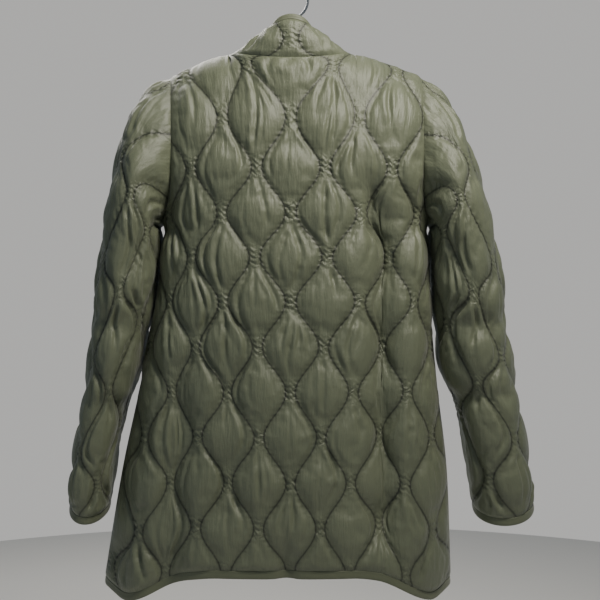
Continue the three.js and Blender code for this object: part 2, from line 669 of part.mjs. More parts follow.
function sleevePanel(side) {
  const ring = side > 0 ? sleeveOf.left : sleeveOf.right;
  const turns = ARM_LEVELS.map(armholeTurn);
  turns[0] = SIDE_END;
  const armhole = [...turns.map((f) => -f), ...turns.slice(0, -1).reverse()];
  armhole[ARM_LEVELS.length - 1] = 0;
  const rows = Math.round(SLEEVE_LENGTH / ROW_HEIGHT);
  const levels = evenly(VALLEY_GAP / SLEEVE_LENGTH, 1 - HALF_GAP / SLEEVE_LENGTH, rows);
  return {
    levels,
    bottom: armhole,
    top: evenly(-SIDE_END, SIDE_END, 20),
    uLow: -SIDE_END,
    uHigh: SIDE_END,
    margin: 0.05,
    roundFrom: 0,
    turn: -side,
    inside: (u, v) => sleevePoint(side, u, v),
    flat: (u, v) => sleeveFlat(side, u, v),
    columnAt: (place, v) =>
      solveColumn((u, w) => sleeveFlat(side, u, w), () => ring.cut(v), place, v, 0.01),
    seam: (u, v, point) => {
      const apart = Math.abs(u);
      const length = mix(SLEEVE_LENGTH, SLEEVE_LENGTH - CAP_HEIGHT, smooth(0, 1, apart));
      const nearArm = 1 - smooth(0, 0.08, v);
      const under = unit(-side * (1 - nearArm), 0, -nearArm);
      const middleX = (side * (ring.inX(v) + ring.outX(v))) / 2;
      const cuff = unit(point.x - middleX, point.y - ring.mid(v), 0);
      return nearestSeam([
        { away: v * length, out: seamOut.armhole(point) },
        { away: (1 - apart) * ring.cut(v), out: under },
        { away: (1 - v) * length, out: cuff },
      ]);
    },
  };
}

// Neck stations of the body as places along the collar
const COLLAR_EDGE = 1 - COLLAR_END / COLLAR_CUT;
const COLLAR_HALF = [
  ...evenly(0, 0.5, NECK_STATIONS),
  ...evenly(0.5, 1, NECK_STATIONS).slice(1, -1),
  COLLAR_EDGE,
];

function collarPanel() {
  const low = (VALLEY_GAP + HALF_GAP) / COLLAR_HEIGHT;
  const flat = (u, v) => [u * COLLAR_CUT, v * COLLAR_HEIGHT - COLLAR_CELL];
  return {
    levels: evenly(low, 1 - HALF_GAP / COLLAR_HEIGHT, 4),
    bottom: mirrored(COLLAR_HALF),
    top: mirrored(COLLAR_HALF),
    uLow: -COLLAR_EDGE,
    uHigh: COLLAR_EDGE,
    margin: 0.03,
    roundFrom: 0,
    turn: -1,
    inside: (u, v) => collarPoint(u, v),
    flat,
    columnAt: (place, v) => quiltAcross(place, flat(0, v)[1]) / COLLAR_CUT,
    seam: (u, v, point) => {
      const out = unit(point.x / 60, (point.y - NECK_CENTRE_Y) / 80, 0);
      return nearestSeam([
        { away: v * COLLAR_HEIGHT, out: seamOut.neck(point) },
        { away: (1 - v) * COLLAR_HEIGHT, out },
        { away: (COLLAR_EDGE - Math.abs(u)) * COLLAR_CUT, out: unit(0, -1, 0) },
      ]);
    },
  };
}

// A strip that carries on from an edge: `along` points, the way out of the wall and the way on
function strip(name, stations, closed, material) {
  const points = [];
  const faces = [];
  for (const { edge, out, on, wide, thick } of stations) {
    const near = edge.clone().addScaledVector(on, STRIP_START);
    const far = edge.clone().addScaledVector(on, wide);
    points.push(near, near.clone().addScaledVector(out, thick));
    points.push(far.clone().addScaledVector(out, thick), far);
  }
  const count = stations.length;
  const spans = closed ? count : count - 1;
  for (let i = 0; i < spans; i += 1) {
    const a = 4 * i;
    const b = 4 * ((i + 1) % count);
    for (let k = 0; k < 4; k += 1) {
      const next = (k + 1) % 4;
      faces.push([a + k, b + k, b + next], [a + k, b + next, a + next]);
    }
  }
  if (!closed) {
    const last = 4 * (count - 1);
    faces.push([0, 1, 2], [0, 2, 3], [last, last + 2, last + 1], [last, last + 3, last + 2]);
  }
  return closedMesh(name, points, faces, material);
}

const DOWN = new THREE.Vector3(0, 0, -1);

// One bias strip runs round the whole hem, from front edge to front edge
function hemBinding(material) {
  const stations = [];
  const add = (face, side, f) => {
    const edge = face === 'back' ? bodyInside('back', side, f, 0) : frontInside(side, f, 0);
    const seam = bodySeam(face, side, f, 0, edge);
    stations.push({ edge, out: seam.out, on: DOWN, wide: BINDING_WIDE, thick: SEAM_THICK });
  };
  const front = HEM_HALF.filter((f) => f > bandEdge(1, 0) + 0.02);
  for (const f of [bandEdge(1, 0), ...front]) add('front', 1, f);
  for (const u of mirrored(HEM_HALF).reverse()) add('back', u < 0 ? -1 : 1, Math.abs(u));
  for (const f of [...front].reverse()) add('front', -1, f);
  add('front', -1, bandEdge(-1, 0));
  return strip('hem_binding', stations, false, material);
}

function cuffBinding(name, side, material) {
  const ring = side > 0 ? sleeveOf.left : sleeveOf.right;
  const stations = evenly(-1, 1, 24).slice(1).map((f) => {
    const edge = sleevePoint(side, f, 1);
    const on = edge.clone().sub(sleevePoint(side, f, 0.97)).normalize();
    const middleX = (side * (ring.inX(1) + ring.outX(1))) / 2;
    const out = unit(edge.x - middleX, edge.y - ring.mid(1), 0);
    return { edge, out, on, wide: BINDING_WIDE, thick: SEAM_THICK };
  });
  return strip(name, stations, true, material);
}

function collarBinding(material) {
  const stations = mirrored(COLLAR_HALF).map((u) => {
    const edge = collarPoint(u, 1);
    const on = edge.clone().sub(collarPoint(u, 0.9)).normalize();
    const out = unit(edge.x / 60, (edge.y - NECK_CENTRE_Y) / 80, 0);
    return { edge, out, on, wide: BINDING_WIDE * 0.7, thick: SEAM_THICK };
  });
  return strip('collar_binding', stations, false, material);
}

// The plain band down a front edge, which crosses the centre front
function frontBand(name, side, material) {
  const towards = new THREE.Vector3(-side, 0, 0);
  const stations = [...BODY_LEVELS.slice(0, -1), 1 - BAND_TOP_DROP / BACK_LENGTH].map((q) => {
    const edge = frontInside(side, bandEdge(side, q), q);
    return { edge, out: unit(0, -1, 0), on: towards, wide: 2 * BAND_HALF, thick: BINDING_THICK };
  });
  return strip(name, stations, false, material);
}

function pressStud(number, material) {
  const q = mix(0.07, 0.93, number / (STUD_COUNT - 1));
  const seat = frontInside(-1, bandEdge(-1, q), q);
  const stud = new THREE.Mesh(
    new THREE.CylinderGeometry(STUD_RADIUS * 0.86, STUD_RADIUS, STUD_HEIGHT, STUD_SIDES),
    material,
  );
  stud.name = `press_stud_${number + 1}`;
  stud.rotation.x = Math.PI;
  stud.position.set(0, seat.y - BINDING_THICK - SEAM_GAP - STUD_HEIGHT / 2, seat.z);
  return stud;
}

// The wire hook: a stem up from the hanger, then most of a circle over the rail
function hangerHook(material) {
  const reach = HOOK_RADIUS + WIRE_RADIUS;
  const middle = { x: 4, z: -HOOK_RADIUS };
  const at = (degrees) => {
    const turn = THREE.MathUtils.degToRad(degrees);
    return new THREE.Vector3(middle.x + reach * Math.cos(turn), 0, middle.z + reach * Math.sin(turn));
  };
  const stemTop = new THREE.Vector3(0, 0, middle.z - reach - 14);
  const stemFoot = new THREE.Vector3(0, 0, HANGER_TOP_Z + SEAM_GAP);
  const loop = [stemFoot, stemTop, new THREE.Vector3(-8, 0, middle.z - reach * 0.97)];
  for (let degrees = -128; degrees >= -352; degrees -= 16) loop.push(at(degrees));
  const route = new THREE.CatmullRomCurve3(loop, false, 'centripetal');
  const section = new THREE.Shape();
  section.absarc(0, 0, WIRE_RADIUS, 0, 2 * Math.PI, false);
  const geometry = new THREE.ExtrudeGeometry(section, {
    steps: HOOK_STEPS,
    curveSegments: HOOK_ARC_STEPS,
    extrudePath: route,
    bevelEnabled: false,
  });
  const mesh = new THREE.Mesh(geometry, material);
  mesh.name = 'hanger_hook';
  return mesh;
}

// The arms follow the shoulder seams from inside; between them the hanger rises to its neck
function hangerArms(material) {
  const points = [];
  const faces = [];
  const sections = evenly(-1, 1, 2 * HANGER_STEPS).map((t) => {
    const side = t < 0 ? -1 : 1;
    const x = t * HANGER_REACH;
    const far = Math.abs(x);
    const half = side > 0 ? level.left(1) : level.right(1);
    const out = Math.max((far - NECK_POINT.x) / (half - NECK_POINT.x), 0);
    const seam = bodyInside('back', side, mix(NECK_SHARE, 1, out), 1);
    const rise = 1 - smooth(0, HANGER_NECK_HALF, far);
    const clear = far < NECK_POINT.x + 6 ? HANGER_NECK_CLEAR * (1 - rise) : 0;
    const top = mix(seam.z - SEAM_GAP - 0.1, HANGER_TOP_Z, rise) - clear;
    return { x, y: seam.y, top, tall: HANGER_TALL * (1 - 0.35 * smooth(0.6, 1, Math.abs(t))) };
  });
  const outline = [
    [0, 0], [0.7, 0.34], [1, 0.55], [0.9, 0.85], [0.35, 1],
    [-0.35, 1], [-0.9, 0.85], [-1, 0.55], [-0.7, 0.34],
  ];
  for (const { x, y, top, tall } of sections) {
    for (const [wide, deep] of outline) {
      points.push(new THREE.Vector3(x, y + wide * HANGER_HALF_THICK, top - deep * tall));
    }
  }
  const sides = outline.length;
  for (let i = 0; i < sections.length - 1; i += 1) {
    for (let k = 0; k < sides; k += 1) {
      const next = (k + 1) % sides;
      const [a, b] = [i * sides, (i + 1) * sides];
      faces.push([a + k, b + k, b + next], [a + k, b + next, a + next]);
    }
  }
  const last = (sections.length - 1) * sides;
  for (let k = 1; k < sides - 1; k += 1) {
    faces.push([0, k, k + 1], [last, last + k + 1, last + k]);
  }
  return closedMesh('hanger_arms', points, faces, material);
}

const cloth = new THREE.MeshStandardMaterial({ color: CLOTH_COLOUR, roughness: 0.55, metalness: 0 });
const binding = new THREE.MeshStandardMaterial({ color: BINDING_COLOUR, roughness: 0.6, metalness: 0 });
const studs = new THREE.MeshStandardMaterial({ color: STUD_COLOUR, roughness: 0.4, metalness: 0 });
const steel = new THREE.MeshStandardMaterial({ color: STEEL_COLOUR, roughness: 0.25, metalness: 1 });
const plastic = new THREE.MeshStandardMaterial({ color: HANGER_COLOUR, roughness: 0.45, metalness: 0 });

const jacket = new THREE.Group();
jacket.add(quiltedWall('back_panel', backPanel(), cloth));
jacket.add(quiltedWall('left_front', frontPanel(1), cloth));
jacket.add(quiltedWall('right_front', frontPanel(-1), cloth));
jacket.add(quiltedWall('left_sleeve', sleevePanel(1), cloth));
jacket.add(quiltedWall('right_sleeve', sleevePanel(-1), cloth));
jacket.add(quiltedWall('collar', collarPanel(), cloth));
jacket.add(hemBinding(binding));
jacket.add(cuffBinding('left_cuff_binding', 1, binding));
jacket.add(cuffBinding('right_cuff_binding', -1, binding));
jacket.add(collarBinding(binding));
jacket.add(frontBand('left_front_band', 1, binding));
jacket.add(frontBand('right_front_band', -1, binding));
for (let number = 0; number < STUD_COUNT; number += 1) jacket.add(pressStud(number, studs));
jacket.add(hangerHook(steel));
jacket.add(hangerArms(plastic));

export default jacket;
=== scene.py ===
"""A quilted jacket with a stand collar on a wire-hook hanger, seen from behind.

The scene is in metres in the frame's own space: +Z up, the wearer's front faces -Y, the wearer's
left is +X, and the origin is inside the top of the hook. The pattern's sizes are in millimetres.
"""
import math
from functools import partialmethod

import bmesh
import bpy
import numpy as np
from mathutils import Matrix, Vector
from mathutils.bvhtree import BVHTree


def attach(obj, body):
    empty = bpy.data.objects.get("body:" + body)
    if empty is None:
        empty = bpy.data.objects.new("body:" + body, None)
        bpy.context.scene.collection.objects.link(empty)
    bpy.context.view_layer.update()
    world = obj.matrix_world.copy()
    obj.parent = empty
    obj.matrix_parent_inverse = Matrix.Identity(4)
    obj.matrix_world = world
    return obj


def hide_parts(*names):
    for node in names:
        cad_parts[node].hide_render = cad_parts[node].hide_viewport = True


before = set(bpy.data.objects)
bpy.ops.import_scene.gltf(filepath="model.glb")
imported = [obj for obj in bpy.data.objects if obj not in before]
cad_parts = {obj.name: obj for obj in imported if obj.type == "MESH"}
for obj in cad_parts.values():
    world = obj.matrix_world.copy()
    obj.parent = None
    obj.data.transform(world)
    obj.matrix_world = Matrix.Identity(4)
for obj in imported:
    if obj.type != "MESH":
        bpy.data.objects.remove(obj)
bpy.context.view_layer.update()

MM = 0.001

# Cloth
STITCH_THICK = 2.4
PUFF_RISE = 8.2
PUFF_BY_WIDTH = 0.42  # how the rise grows with a cell's width, as a power
PUFF_ROUND = 0.5  # how full a cell is beside its lines, as a power of a sine
SEAM_THICK = 4.2
SEAM_FADE = 11
SEAM_BLEND = 5  # how much farther than the nearest seam another one still counts
SEAM_GAP = 0.3  # between hard pieces that touch
SEAM_LAP = 0.3  # how far the skins of two sewn pieces lap

# Quilting
CELL_PITCH = 104
WAVE_LENGTH = 126
WAVE_SWING = 18
LINE_STEP = CELL_PITCH / 2

# Body
SIDE_NAMES = {1: "left", -1: "right"}
HEM_BACK_Z = -826
HEM_FRONT_Z = -836
NECK_BACK = (50, -123)
NECK_FRONT = (-70, -190)
NECK_POINT = (86, -2, -108)
NECK_SHARE = 0.48
NECK_CENTRE_Y = -8
NECK_DEEP = 58
UNDERARM = 0.69
SHOULDER_FADE = 0.76
SECTION_FLAT = 2.8  # a level's outline: flatter in the middle as this grows
SECTION_FULL = 0.72  # and fuller at the sides as this shrinks
BACK_LENGTH = 722
BACK_WIDE = 600
FRONT_WIDE = 290
CELL_BELOW_NECK = 32
CORNER_SAG = 14

LEVEL_NAMES = (
    "at", "left", "right", "mid_back", "mid_front", "edge_back", "edge_front",
    "edge_z", "cut_left", "cut_right", "crowd",
)
LEVELS = [
    (0.0, 266, 227, 86, -80, -6, -6, -858, 326, 306, 0.03),
    (0.2, 240, 221, 84, -80, -6, -6, -700, 312, 300, 0.06),
    (0.36, 214, 207, 80, -78, -6, -6, -578, 290, 286, 0.14),
    (0.52, 192, 197, 76, -76, -6, -6, -462, 262, 266, 0.24),
    (0.63, 182, 194, 74, -75, -6, -6, -382, 244, 256, 0.28),
    (0.665, 178, 191, 73, -75, -6, -6, -360, 240, 252, 0.26),
    (0.69, 183, 195, 73, -75, -6, -6, -345, 236, 248, 0.2),
    (0.76, 170, 186, 71, -74, 36, -46, -300, 200, 216, 0.06),
    (0.84, 167, 185, 67, -73, 46, -54, -240, 188, 206, 0),
    (0.92, 169, 186, 60, -72, 36, -44, -185, 180, 198, 0),
    (0.97, 172, 187, 54, -71, 16, -24, -155, 178, 194, 0),
    (1.0, 174, 188, 50, -70, -4, -4, -142, 178, 194, 0),
]

# Upright folds: the place across, the width as shares of the half width, the depth, and the levels
# from which and to which each one runs
BACK_FOLDS = [
    (-0.54, 0.1, 24, 0.0, 0.84),
    (-0.78, 0.12, -7, 0.0, 0.7),
    (0.34, 0.09, 7, 0.0, 0.5),
    (0.62, 0.1, 12, -0.2, 0.46),
    (0.02, 0.05, 9, -0.2, 0.18),
    (0.8, 0.1, -6, -0.2, 0.6),
]
FRONT_FOLDS = [
    (-0.56, 0.11, 16, -0.1, 0.74),
    (0.58, 0.11, 19, -0.1, 0.7),
    (0.32, 0.1, 6, -0.2, 0.5),
]

SLEEVE_NAMES = ("at", "out_x", "out_z", "in_x", "in_z", "deep", "mid", "low", "cut")
LEFT_SLEEVE = [
    (0.0, 174, -142, 183, -345, 50, -4, 0, 196),
    (0.07, 203, -164, 194, -352, 62, -4, 0, 204),
    (0.16, 229, -210, 197, -366, 74, -4, 0, 212),
    (0.28, 248, -290, 195, -400, 78, -4, 0, 214),
    (0.45, 271, -430, 205, -470, 74, -6, 0, 200),
    (0.65, 284, -560, 233, -578, 66, -8, 4, 180),
    (0.82, 303, -668, 258, -672, 58, -10, 8, 162),
    (1.0, 316, -746, 266, -752, 50, -12, 14, 148),
]
RIGHT_SLEEVE = [
    (0.0, 188, -142, 195, -345, 50, -4, 0, 196),
    (0.07, 216, -172, 205, -352, 62, -4, 0, 204),
    (0.16, 240, -220, 208, -366, 74, -4, 0, 212),
    (0.28, 266, -298, 207, -400, 76, -4, 0, 214),
    (0.45, 296, -430, 212, -474, 70, -6, 0, 202),
    (0.6, 306, -528, 219, -546, 64, -8, 3, 186),
    (0.74, 321, -606, 243, -612, 58, -10, 6, 172),
    (0.87, 334, -680, 258, -686, 52, -12, 10, 160),
    (1.0, 347, -746, 266, -754, 46, -14, 16, 150),
]
SLEEVE_LENGTH = 650
SLEEVE_SPAN = (390, 600)
CAP_HEIGHT = 205
ARMHOLE_BLEND = 0.2
ARMHOLE_CENTRE = (-4, -240)
ARMHOLE_HALF = (50, 100)

# Dents in both sleeves: the place around, the width, the depth, the place down and the length
SLEEVE_FOLDS = [
    (0.34, 0.1, 8, 0.1, 0.1),
    (0.62, 0.14, 9, 0.34, 0.06),
    (0.4, 0.3, 7, 0.52, 0.035),
    (0.6, 0.3, 6, 0.7, 0.03),
    (-0.5, 0.3, 8, 0.5, 0.04),
    (-0.4, 0.16, 7, 0.12, 0.08),
]

# Collar
COLLAR_TOP = {"half": 40, "back_y": 44, "front_y": -92, "back_z": -65, "front_z": -142}
COLLAR_SIDE_DIP = 12
COLLAR_BULGE = 2
COLLAR_HEIGHT = 60
COLLAR_CUT = 205
COLLAR_CELL = 93
COLLAR_END = 2.5
COLLAR_HALF = (60, 80)
COLLAR_EDGE = 1 - COLLAR_END / COLLAR_CUT

# Edges and bands
BINDING_WIDE = 10
BINDING_THICK = 3.4
BAND_HALF = 13
BAND_THICK = 4.6
BAND_TOP_DROP = 10
UNDER_BAND_DROP = 6.2
BAND_BLEND = 0.3

# Fineness
GRID_STEP = 5.2  # mm between the points of a padded skin before it is subdivided
INNER_STEP = 11


class Column:
    """A smooth curve through each named column of a table."""

    def __init__(self, names, rows):
        self.table = {name: np.array([row[i] for row in rows], float) for i, name in enumerate(names)}
        self.at = self.table[names[0]]

    def __getattr__(self, name):
        value, at = self.table[name], self.at
        before = np.maximum(np.arange(len(at)) - 1, 0)
        after = np.minimum(np.arange(len(at)) + 1, len(at) - 1)
        slope = (value[after] - value[before]) / (at[after] - at[before])

        def curve(where):
            x = np.clip(where, at[0], at[-1])
            i = np.clip(np.searchsorted(at, x, side="left") - 1, 0, len(at) - 2)
            span = at[i + 1] - at[i]
            t = (x - at[i]) / span
            rise = t * t * (3 - 2 * t)
            leave = t * (1 - t) ** 2 * span * slope[i]
            arrive = t * t * (1 - t) * span * slope[i + 1]
            return value[i] + (value[i + 1] - value[i]) * rise + leave - arrive

        return curve


def smooth(start, end, x):
    t = np.clip((x - start) / (end - start), 0, 1)
    return t * t * (3 - 2 * t)


def mix(a, b, t):
    return a + (b - a) * t


def points(x, y, z):
    return np.stack(np.broadcast_arrays(x, y, z), axis=-1).astype(float)


def unit(vectors):
    return vectors / np.maximum(np.linalg.norm(vectors, axis=-1, keepdims=True), 1e-9)


def choose(test, first, second):
    """The first points where the test holds, else the second."""
    return np.where(test[..., None], first, second)


def sided(u):
    """Which side of the centre line a place is on, 1 or -1, and how far from it."""
    return np.where(u < 0, -1, 1), np.abs(u)


LEVEL = Column(LEVEL_NAMES, LEVELS)
SLEEVES = {1: Column(SLEEVE_NAMES, LEFT_SLEEVE), -1: Column(SLEEVE_NAMES, RIGHT_SLEEVE)}


def half_width(u, q):
    return np.where(u < 0, LEVEL.right(q), LEVEL.left(q))


def top_edge(back, u):
    """The top of a body panel: the neck curve, then the shoulder seam."""
    side, f = sided(u)
    neck_y, neck_z = NECK_BACK if back else NECK_FRONT
    turn = (math.pi / 2) * np.minimum(f / NECK_SHARE, 1)
    inward = np.cos(turn)
    neck = points(
        side * NECK_POINT[0] * np.sin(turn),
        mix(NECK_POINT[1], neck_y, inward),
        mix(NECK_POINT[2], neck_z, inward * (inward if back else 1)),
    )
    out = (f - NECK_SHARE) / (1 - NECK_SHARE)
    shoulder = points(
        side * mix(NECK_POINT[0], half_width(u, np.ones_like(f)), out),
        mix(NECK_POINT[1], LEVEL.edge_back(1.0), out),
        mix(NECK_POINT[2], LEVEL.edge_z(1.0), 0.5 * out + 0.5 * out * out),
    )
    return choose(f < NECK_SHARE, neck, shoulder)


def fold_depth(folds, across, q):
    depth = 0
    for place, wide, deep, start, end in folds:
        length = smooth(start, start + 0.12, q) * (1 - smooth(end - 0.2, end, q))
        depth = depth + deep * np.exp(-(((across - place) / wide) ** 2)) * length
    return depth


def body_middle_z(back, q):
    return mix(HEM_BACK_Z, NECK_BACK[1], q) if back else mix(HEM_FRONT_Z, NECK_FRONT[1], q)


def level_z(back, f, q):
    """The height of a level, from the centre line out to the sides."""
    return mix(body_middle_z(back, q), LEVEL.edge_z(q), smooth(0.35, 1, f))


def body_inside(back, u, q):
    """A point of the body's inside: u is 0 at the centre line and 1 or -1 at the sides."""
    side, f = sided(u)
    reach = side * half_width(u, q) * f
    middle, edge = (LEVEL.mid_back, LEVEL.edge_back) if back else (LEVEL.mid_front, LEVEL.edge_front)
    around = np.maximum(1 - f**SECTION_FLAT, 0) ** SECTION_FULL
    plain = points(reach, mix(edge(q), middle(q), around), level_z(back, f, q))
    sag = CORNER_SAG * (smooth(0.5, 0.84, f) - smooth(0.84, 1, f)) * (1 - smooth(0, 0.4, q))
    folds = fold_depth(BACK_FOLDS if back else FRONT_FOLDS, u, q) * (1 - smooth(0.86, 1, f))
    point = plain + points(reach * LEVEL.crowd(q) * (1 - f * f), -folds if back else folds, -sag)
    over = np.maximum((q - SHOULDER_FADE) / (1 - SHOULDER_FADE), 0)
    return point + (top_edge(back, u) - plain) * (over**3)[..., None]


def front_inside(u, q):
    """The fronts, of which the left one tucks under the right one's band."""
    point = body_inside(False, u, q)
    point[..., 1] += np.where(u > 0, UNDER_BAND_DROP * (1 - smooth(0, BAND_BLEND, np.abs(u))), 0)
    return point


def armhole_level(f):
    return 1 - ((1 - UNDERARM) * (1 - np.cos(math.pi * np.abs(f)))) / 2


def sleeve_middle(side, w):
    """The sleeve's own centre line."""
    ring = SLEEVES[side]
    middle_x, middle_z = (ring.in_x(w) + ring.out_x(w)) / 2, (ring.in_z(w) + ring.out_z(w)) / 2
    return points(side * middle_x, ring.mid(w), middle_z)


def cuff_out(side, w, p):
    middle = sleeve_middle(side, w)
    return unit(points(p[..., 0] - middle[..., 0], p[..., 1] - middle[..., 1], 0))


def sleeve_inside(side, f, w):
    ring = SLEEVES[side]
    cos, sin = np.cos(math.pi * f), np.sin(math.pi * f)

    def at(where):
        share = 0.5 + 0.5 * cos
        return points(
            side * mix(ring.in_x(where), ring.out_x(where), share),
            ring.mid(where) + ring.deep(where) * sin,
            mix(ring.in_z(where), ring.out_z(where), share) - ring.low(where) * sin,
        )

    point = at(w)
    q = armhole_level(f)
    edge = side * np.ones_like(f)
    seam = choose(f >= 0, body_inside(True, edge, q), body_inside(False, edge, q))
    fade = np.maximum(1 - w / ARMHOLE_BLEND, 0) ** 2
    point = point + (seam - at(np.zeros_like(w))) * fade[..., None]
    depth = 0
    for around, wide, deep, down, long in SLEEVE_FOLDS:
        bend = ((f - around) / wide) ** 2 + ((w - down) / long) ** 2
        depth = depth + deep * np.exp(-bend) * smooth(0, 0.06, w)
    return point + unit(sleeve_middle(side, w) - point) * depth[..., None]


def neck_seam(u):
    side, far = sided(u)
    one = np.ones_like(far)
    back = body_inside(True, side * NECK_SHARE * np.minimum(far * 2, 1), one)
    front = body_inside(False, side * NECK_SHARE * np.minimum((1 - far) * 2, 1), one)
    return choose(far <= 0.5, back, front)


def collar_inside(u, w):
    side, far = sided(u)
    cos, sin = np.cos(math.pi * far), np.maximum(np.sin(math.pi * far), 0)
    share = 0.5 + 0.5 * cos
    top = points(
        side * COLLAR_TOP["half"] * sin**0.7,
        mix(COLLAR_TOP["front_y"], COLLAR_TOP["back_y"], share),
        mix(COLLAR_TOP["front_z"], COLLAR_TOP["back_z"], smooth(0, 1, share)) - COLLAR_SIDE_DIP * sin,
    )
    point = mix(neck_seam(u), top, w[..., None])
    out = unit(points(point[..., 0], (point[..., 1] - NECK_CENTRE_Y) * 0.7, 0 * w))
    return point + out * (COLLAR_BULGE * np.sin(math.pi * w))[..., None]


def seam_out_side(side, q):
    down = smooth(UNDERARM - 0.06, UNDERARM, q)
    return unit(points(side * (1 - down), 0, -down))


def seam_out_neck(p):
    return unit(points(p[..., 0] / NECK_POINT[0], (p[..., 1] - NECK_CENTRE_Y) / NECK_DEEP, 0.7))


def seam_out_shoulder(side, f, p):
    near = (1 - smooth(NECK_SHARE, NECK_SHARE + 0.2, f))[..., None]
    slope = 0.28 * (1 - smooth(0.85, 1, f))
    return unit(mix(unit(points(side * slope, 0, 1)), seam_out_neck(p), near))


def seam_out_armhole(p):
    from_centre = (p[..., 1:] - np.array(ARMHOLE_CENTRE)) / ARMHOLE_HALF
    return unit(points(0, from_centre[..., 0], from_centre[..., 1]))


def collar_out(p):
    return unit(points(p[..., 0] / COLLAR_HALF[0], (p[..., 1] - NECK_CENTRE_Y) / COLLAR_HALF[1], 0))


def nearest_seam(seams):
    """The distance to the nearest seam, and the way the wall stands there."""
    away = np.minimum.reduce([np.broadcast_to(a, seams[0][0].shape) for a, _ in seams])
    out = 0
    for distance, direction in seams:
        share = np.maximum(1 - (distance - away) / SEAM_BLEND, 0)
        out = out + direction * (share * share)[..., None]
    return away, unit(out)


def body_seams(back, u, q, p, centre_edge=None):
    side, f = sided(u)
    half = half_width(u, q)
    edge_out = choose(q < UNDERARM, seam_out_side(side, q), seam_out_armhole(p))
    top_out = choose(f < NECK_SHARE, seam_out_neck(p), seam_out_shoulder(side, f, p))
    hem_out = choose(f > 0.9, edge_out, unit(points(p[..., 0] * 0.35, 60 if back else -60, 0)))
    seams = [
        ((1 - f) * half * 1.2, edge_out),
        ((1 - q) * BACK_LENGTH, top_out),
        (q * BACK_LENGTH, hem_out),
    ]
    if centre_edge is not None:
        seams.append(((f - centre_edge) * half, unit(points(0 * f, -1, 0))))
    return nearest_seam(seams)


def body_flat(back, u, q):
    cut = np.where(u < 0, LEVEL.cut_right(q), LEVEL.cut_left(q))
    lean = level_z(back, np.abs(u), q) - body_middle_z(True, q)
    return u * cut, (q - 1) * BACK_LENGTH + CELL_BELOW_NECK + lean


def quilt_line(line, height):
    swing = WAVE_SWING * np.cos(2 * math.pi * height / WAVE_LENGTH)
    return (line + 0.5) * LINE_STEP + np.where(np.mod(line, 2) == 0, swing, -swing)


def quilt_place(across, height):
    """Where a place of the flat cloth lies among the lines of quilting: 3.5 is midway from 3 to 4."""
    line = np.floor(across / LINE_STEP - 0.5)
    for _ in range(2):
        line = np.where(quilt_line(line, height) > across, line - 1, line)
        line = np.where(quilt_line(line + 1, height) <= across, line + 1, line)
    start = quilt_line(line, height)
    return line + (across - start) / (quilt_line(line + 1, height) - start)


def quilt_cell(across, height):
    """The share of the way across a cell, and the cell's width there."""
    place = quilt_place(across, height)
    line = np.floor(place)
    return place - line, quilt_line(line + 1, height) - quilt_line(line, height)


class Panel:
    """A padded piece: its inside, flat cut and seams over u in its own range and v from 0 to 1."""

    def __init__(self, name, inside, flat, seams, size, bound, u_range=(-1.0, 1.0), turn=1):
        self.name, self.inside, self.flat, self.seams = name, inside, flat, seams
        self.size, self.bound, self.u_range, self.turn = size, bound, u_range, turn

    def place(self, s, v):
        """u, v of a place given as shares of the panel, which laps a little over its seams."""
        low, high = self.u_range
        edge = -SEAM_LAP / 2 / self.size[0]
        top = -SEAM_LAP / 2 / self.size[1]
        return mix(low, high, edge + (1 - 2 * edge) * s), top + (1 - 2 * top) * v

    def normal(self, u, v):
        step = 0.004
        low, high = self.u_range
        u0, u1 = np.maximum(u - step, low), np.minimum(u + step, high)
        v0, v1 = np.maximum(v - step, 0), np.minimum(v + step, 1)
        along = self.inside(u1, v) - self.inside(u0, v)
        up = self.inside(u, v1) - self.inside(u, v0)
        return unit(np.cross(along, up)) * self.turn

    def frame(self, u, v):
        """The inside point, the way out of it, the flat place and the distance to a seam."""
        p = self.inside(u, v)
        away, seam_out = self.seams(u, v, p)
        out = unit(mix(seam_out, self.normal(u, v), smooth(0, SEAM_FADE, away)[..., None]))
        across, height = self.flat(u, v)
        return p, out, across, height, away


def thickness(across, height, away, puff):
    """The skin's height above the inside, where puff is a share of the full relief."""
    share, width = quilt_cell(across, height)
    size = (width / (LINE_STEP + 2 * WAVE_SWING)) ** PUFF_BY_WIDTH
    dome = np.abs(np.sin(math.pi * share)) ** PUFF_ROUND
    return mix(SEAM_THICK, STITCH_THICK + puff * PUFF_RISE * size * dome, smooth(0, SEAM_FADE, away))


def back_panel():
    return Panel(
        "back_panel",
        lambda u, v: body_inside(True, u, v),
        lambda u, v: body_flat(True, u, v),
        lambda u, v, p: body_seams(True, u, v, p),
        (BACK_WIDE, BACK_LENGTH),
        bound=("foot",),
        turn=-1,
    )


def front_edge(side, q):
    """How far from the centre line, as a share of the half width, the band meets the padded front."""
    return BAND_HALF / (half_width(side * np.ones_like(q), q) * (1 + LEVEL.crowd(q)))


def front_panel(side):
    def at(u, v):
        edge = front_edge(side, v)
        return side * mix(edge, 1, u), edge

    return Panel(
        SIDE_NAMES[side] + "_front",
        lambda u, v: front_inside(at(u, v)[0], v),
        lambda u, v: body_flat(False, at(u, v)[0], v),
        lambda u, v, p: body_seams(False, at(u, v)[0], v, p, at(u, v)[1]),
        (FRONT_WIDE, BACK_LENGTH),
        bound=("foot", "start"),
        u_range=(0.0, 1.0),
        turn=side,
    )


def sleeve_flat(side, f, w):
    cap = CAP_HEIGHT * (1 - np.cos(math.pi * f)) / 2
    return f * SLEEVES[side].cut(w), -mix(cap, SLEEVE_LENGTH, w) + WAVE_LENGTH / 4


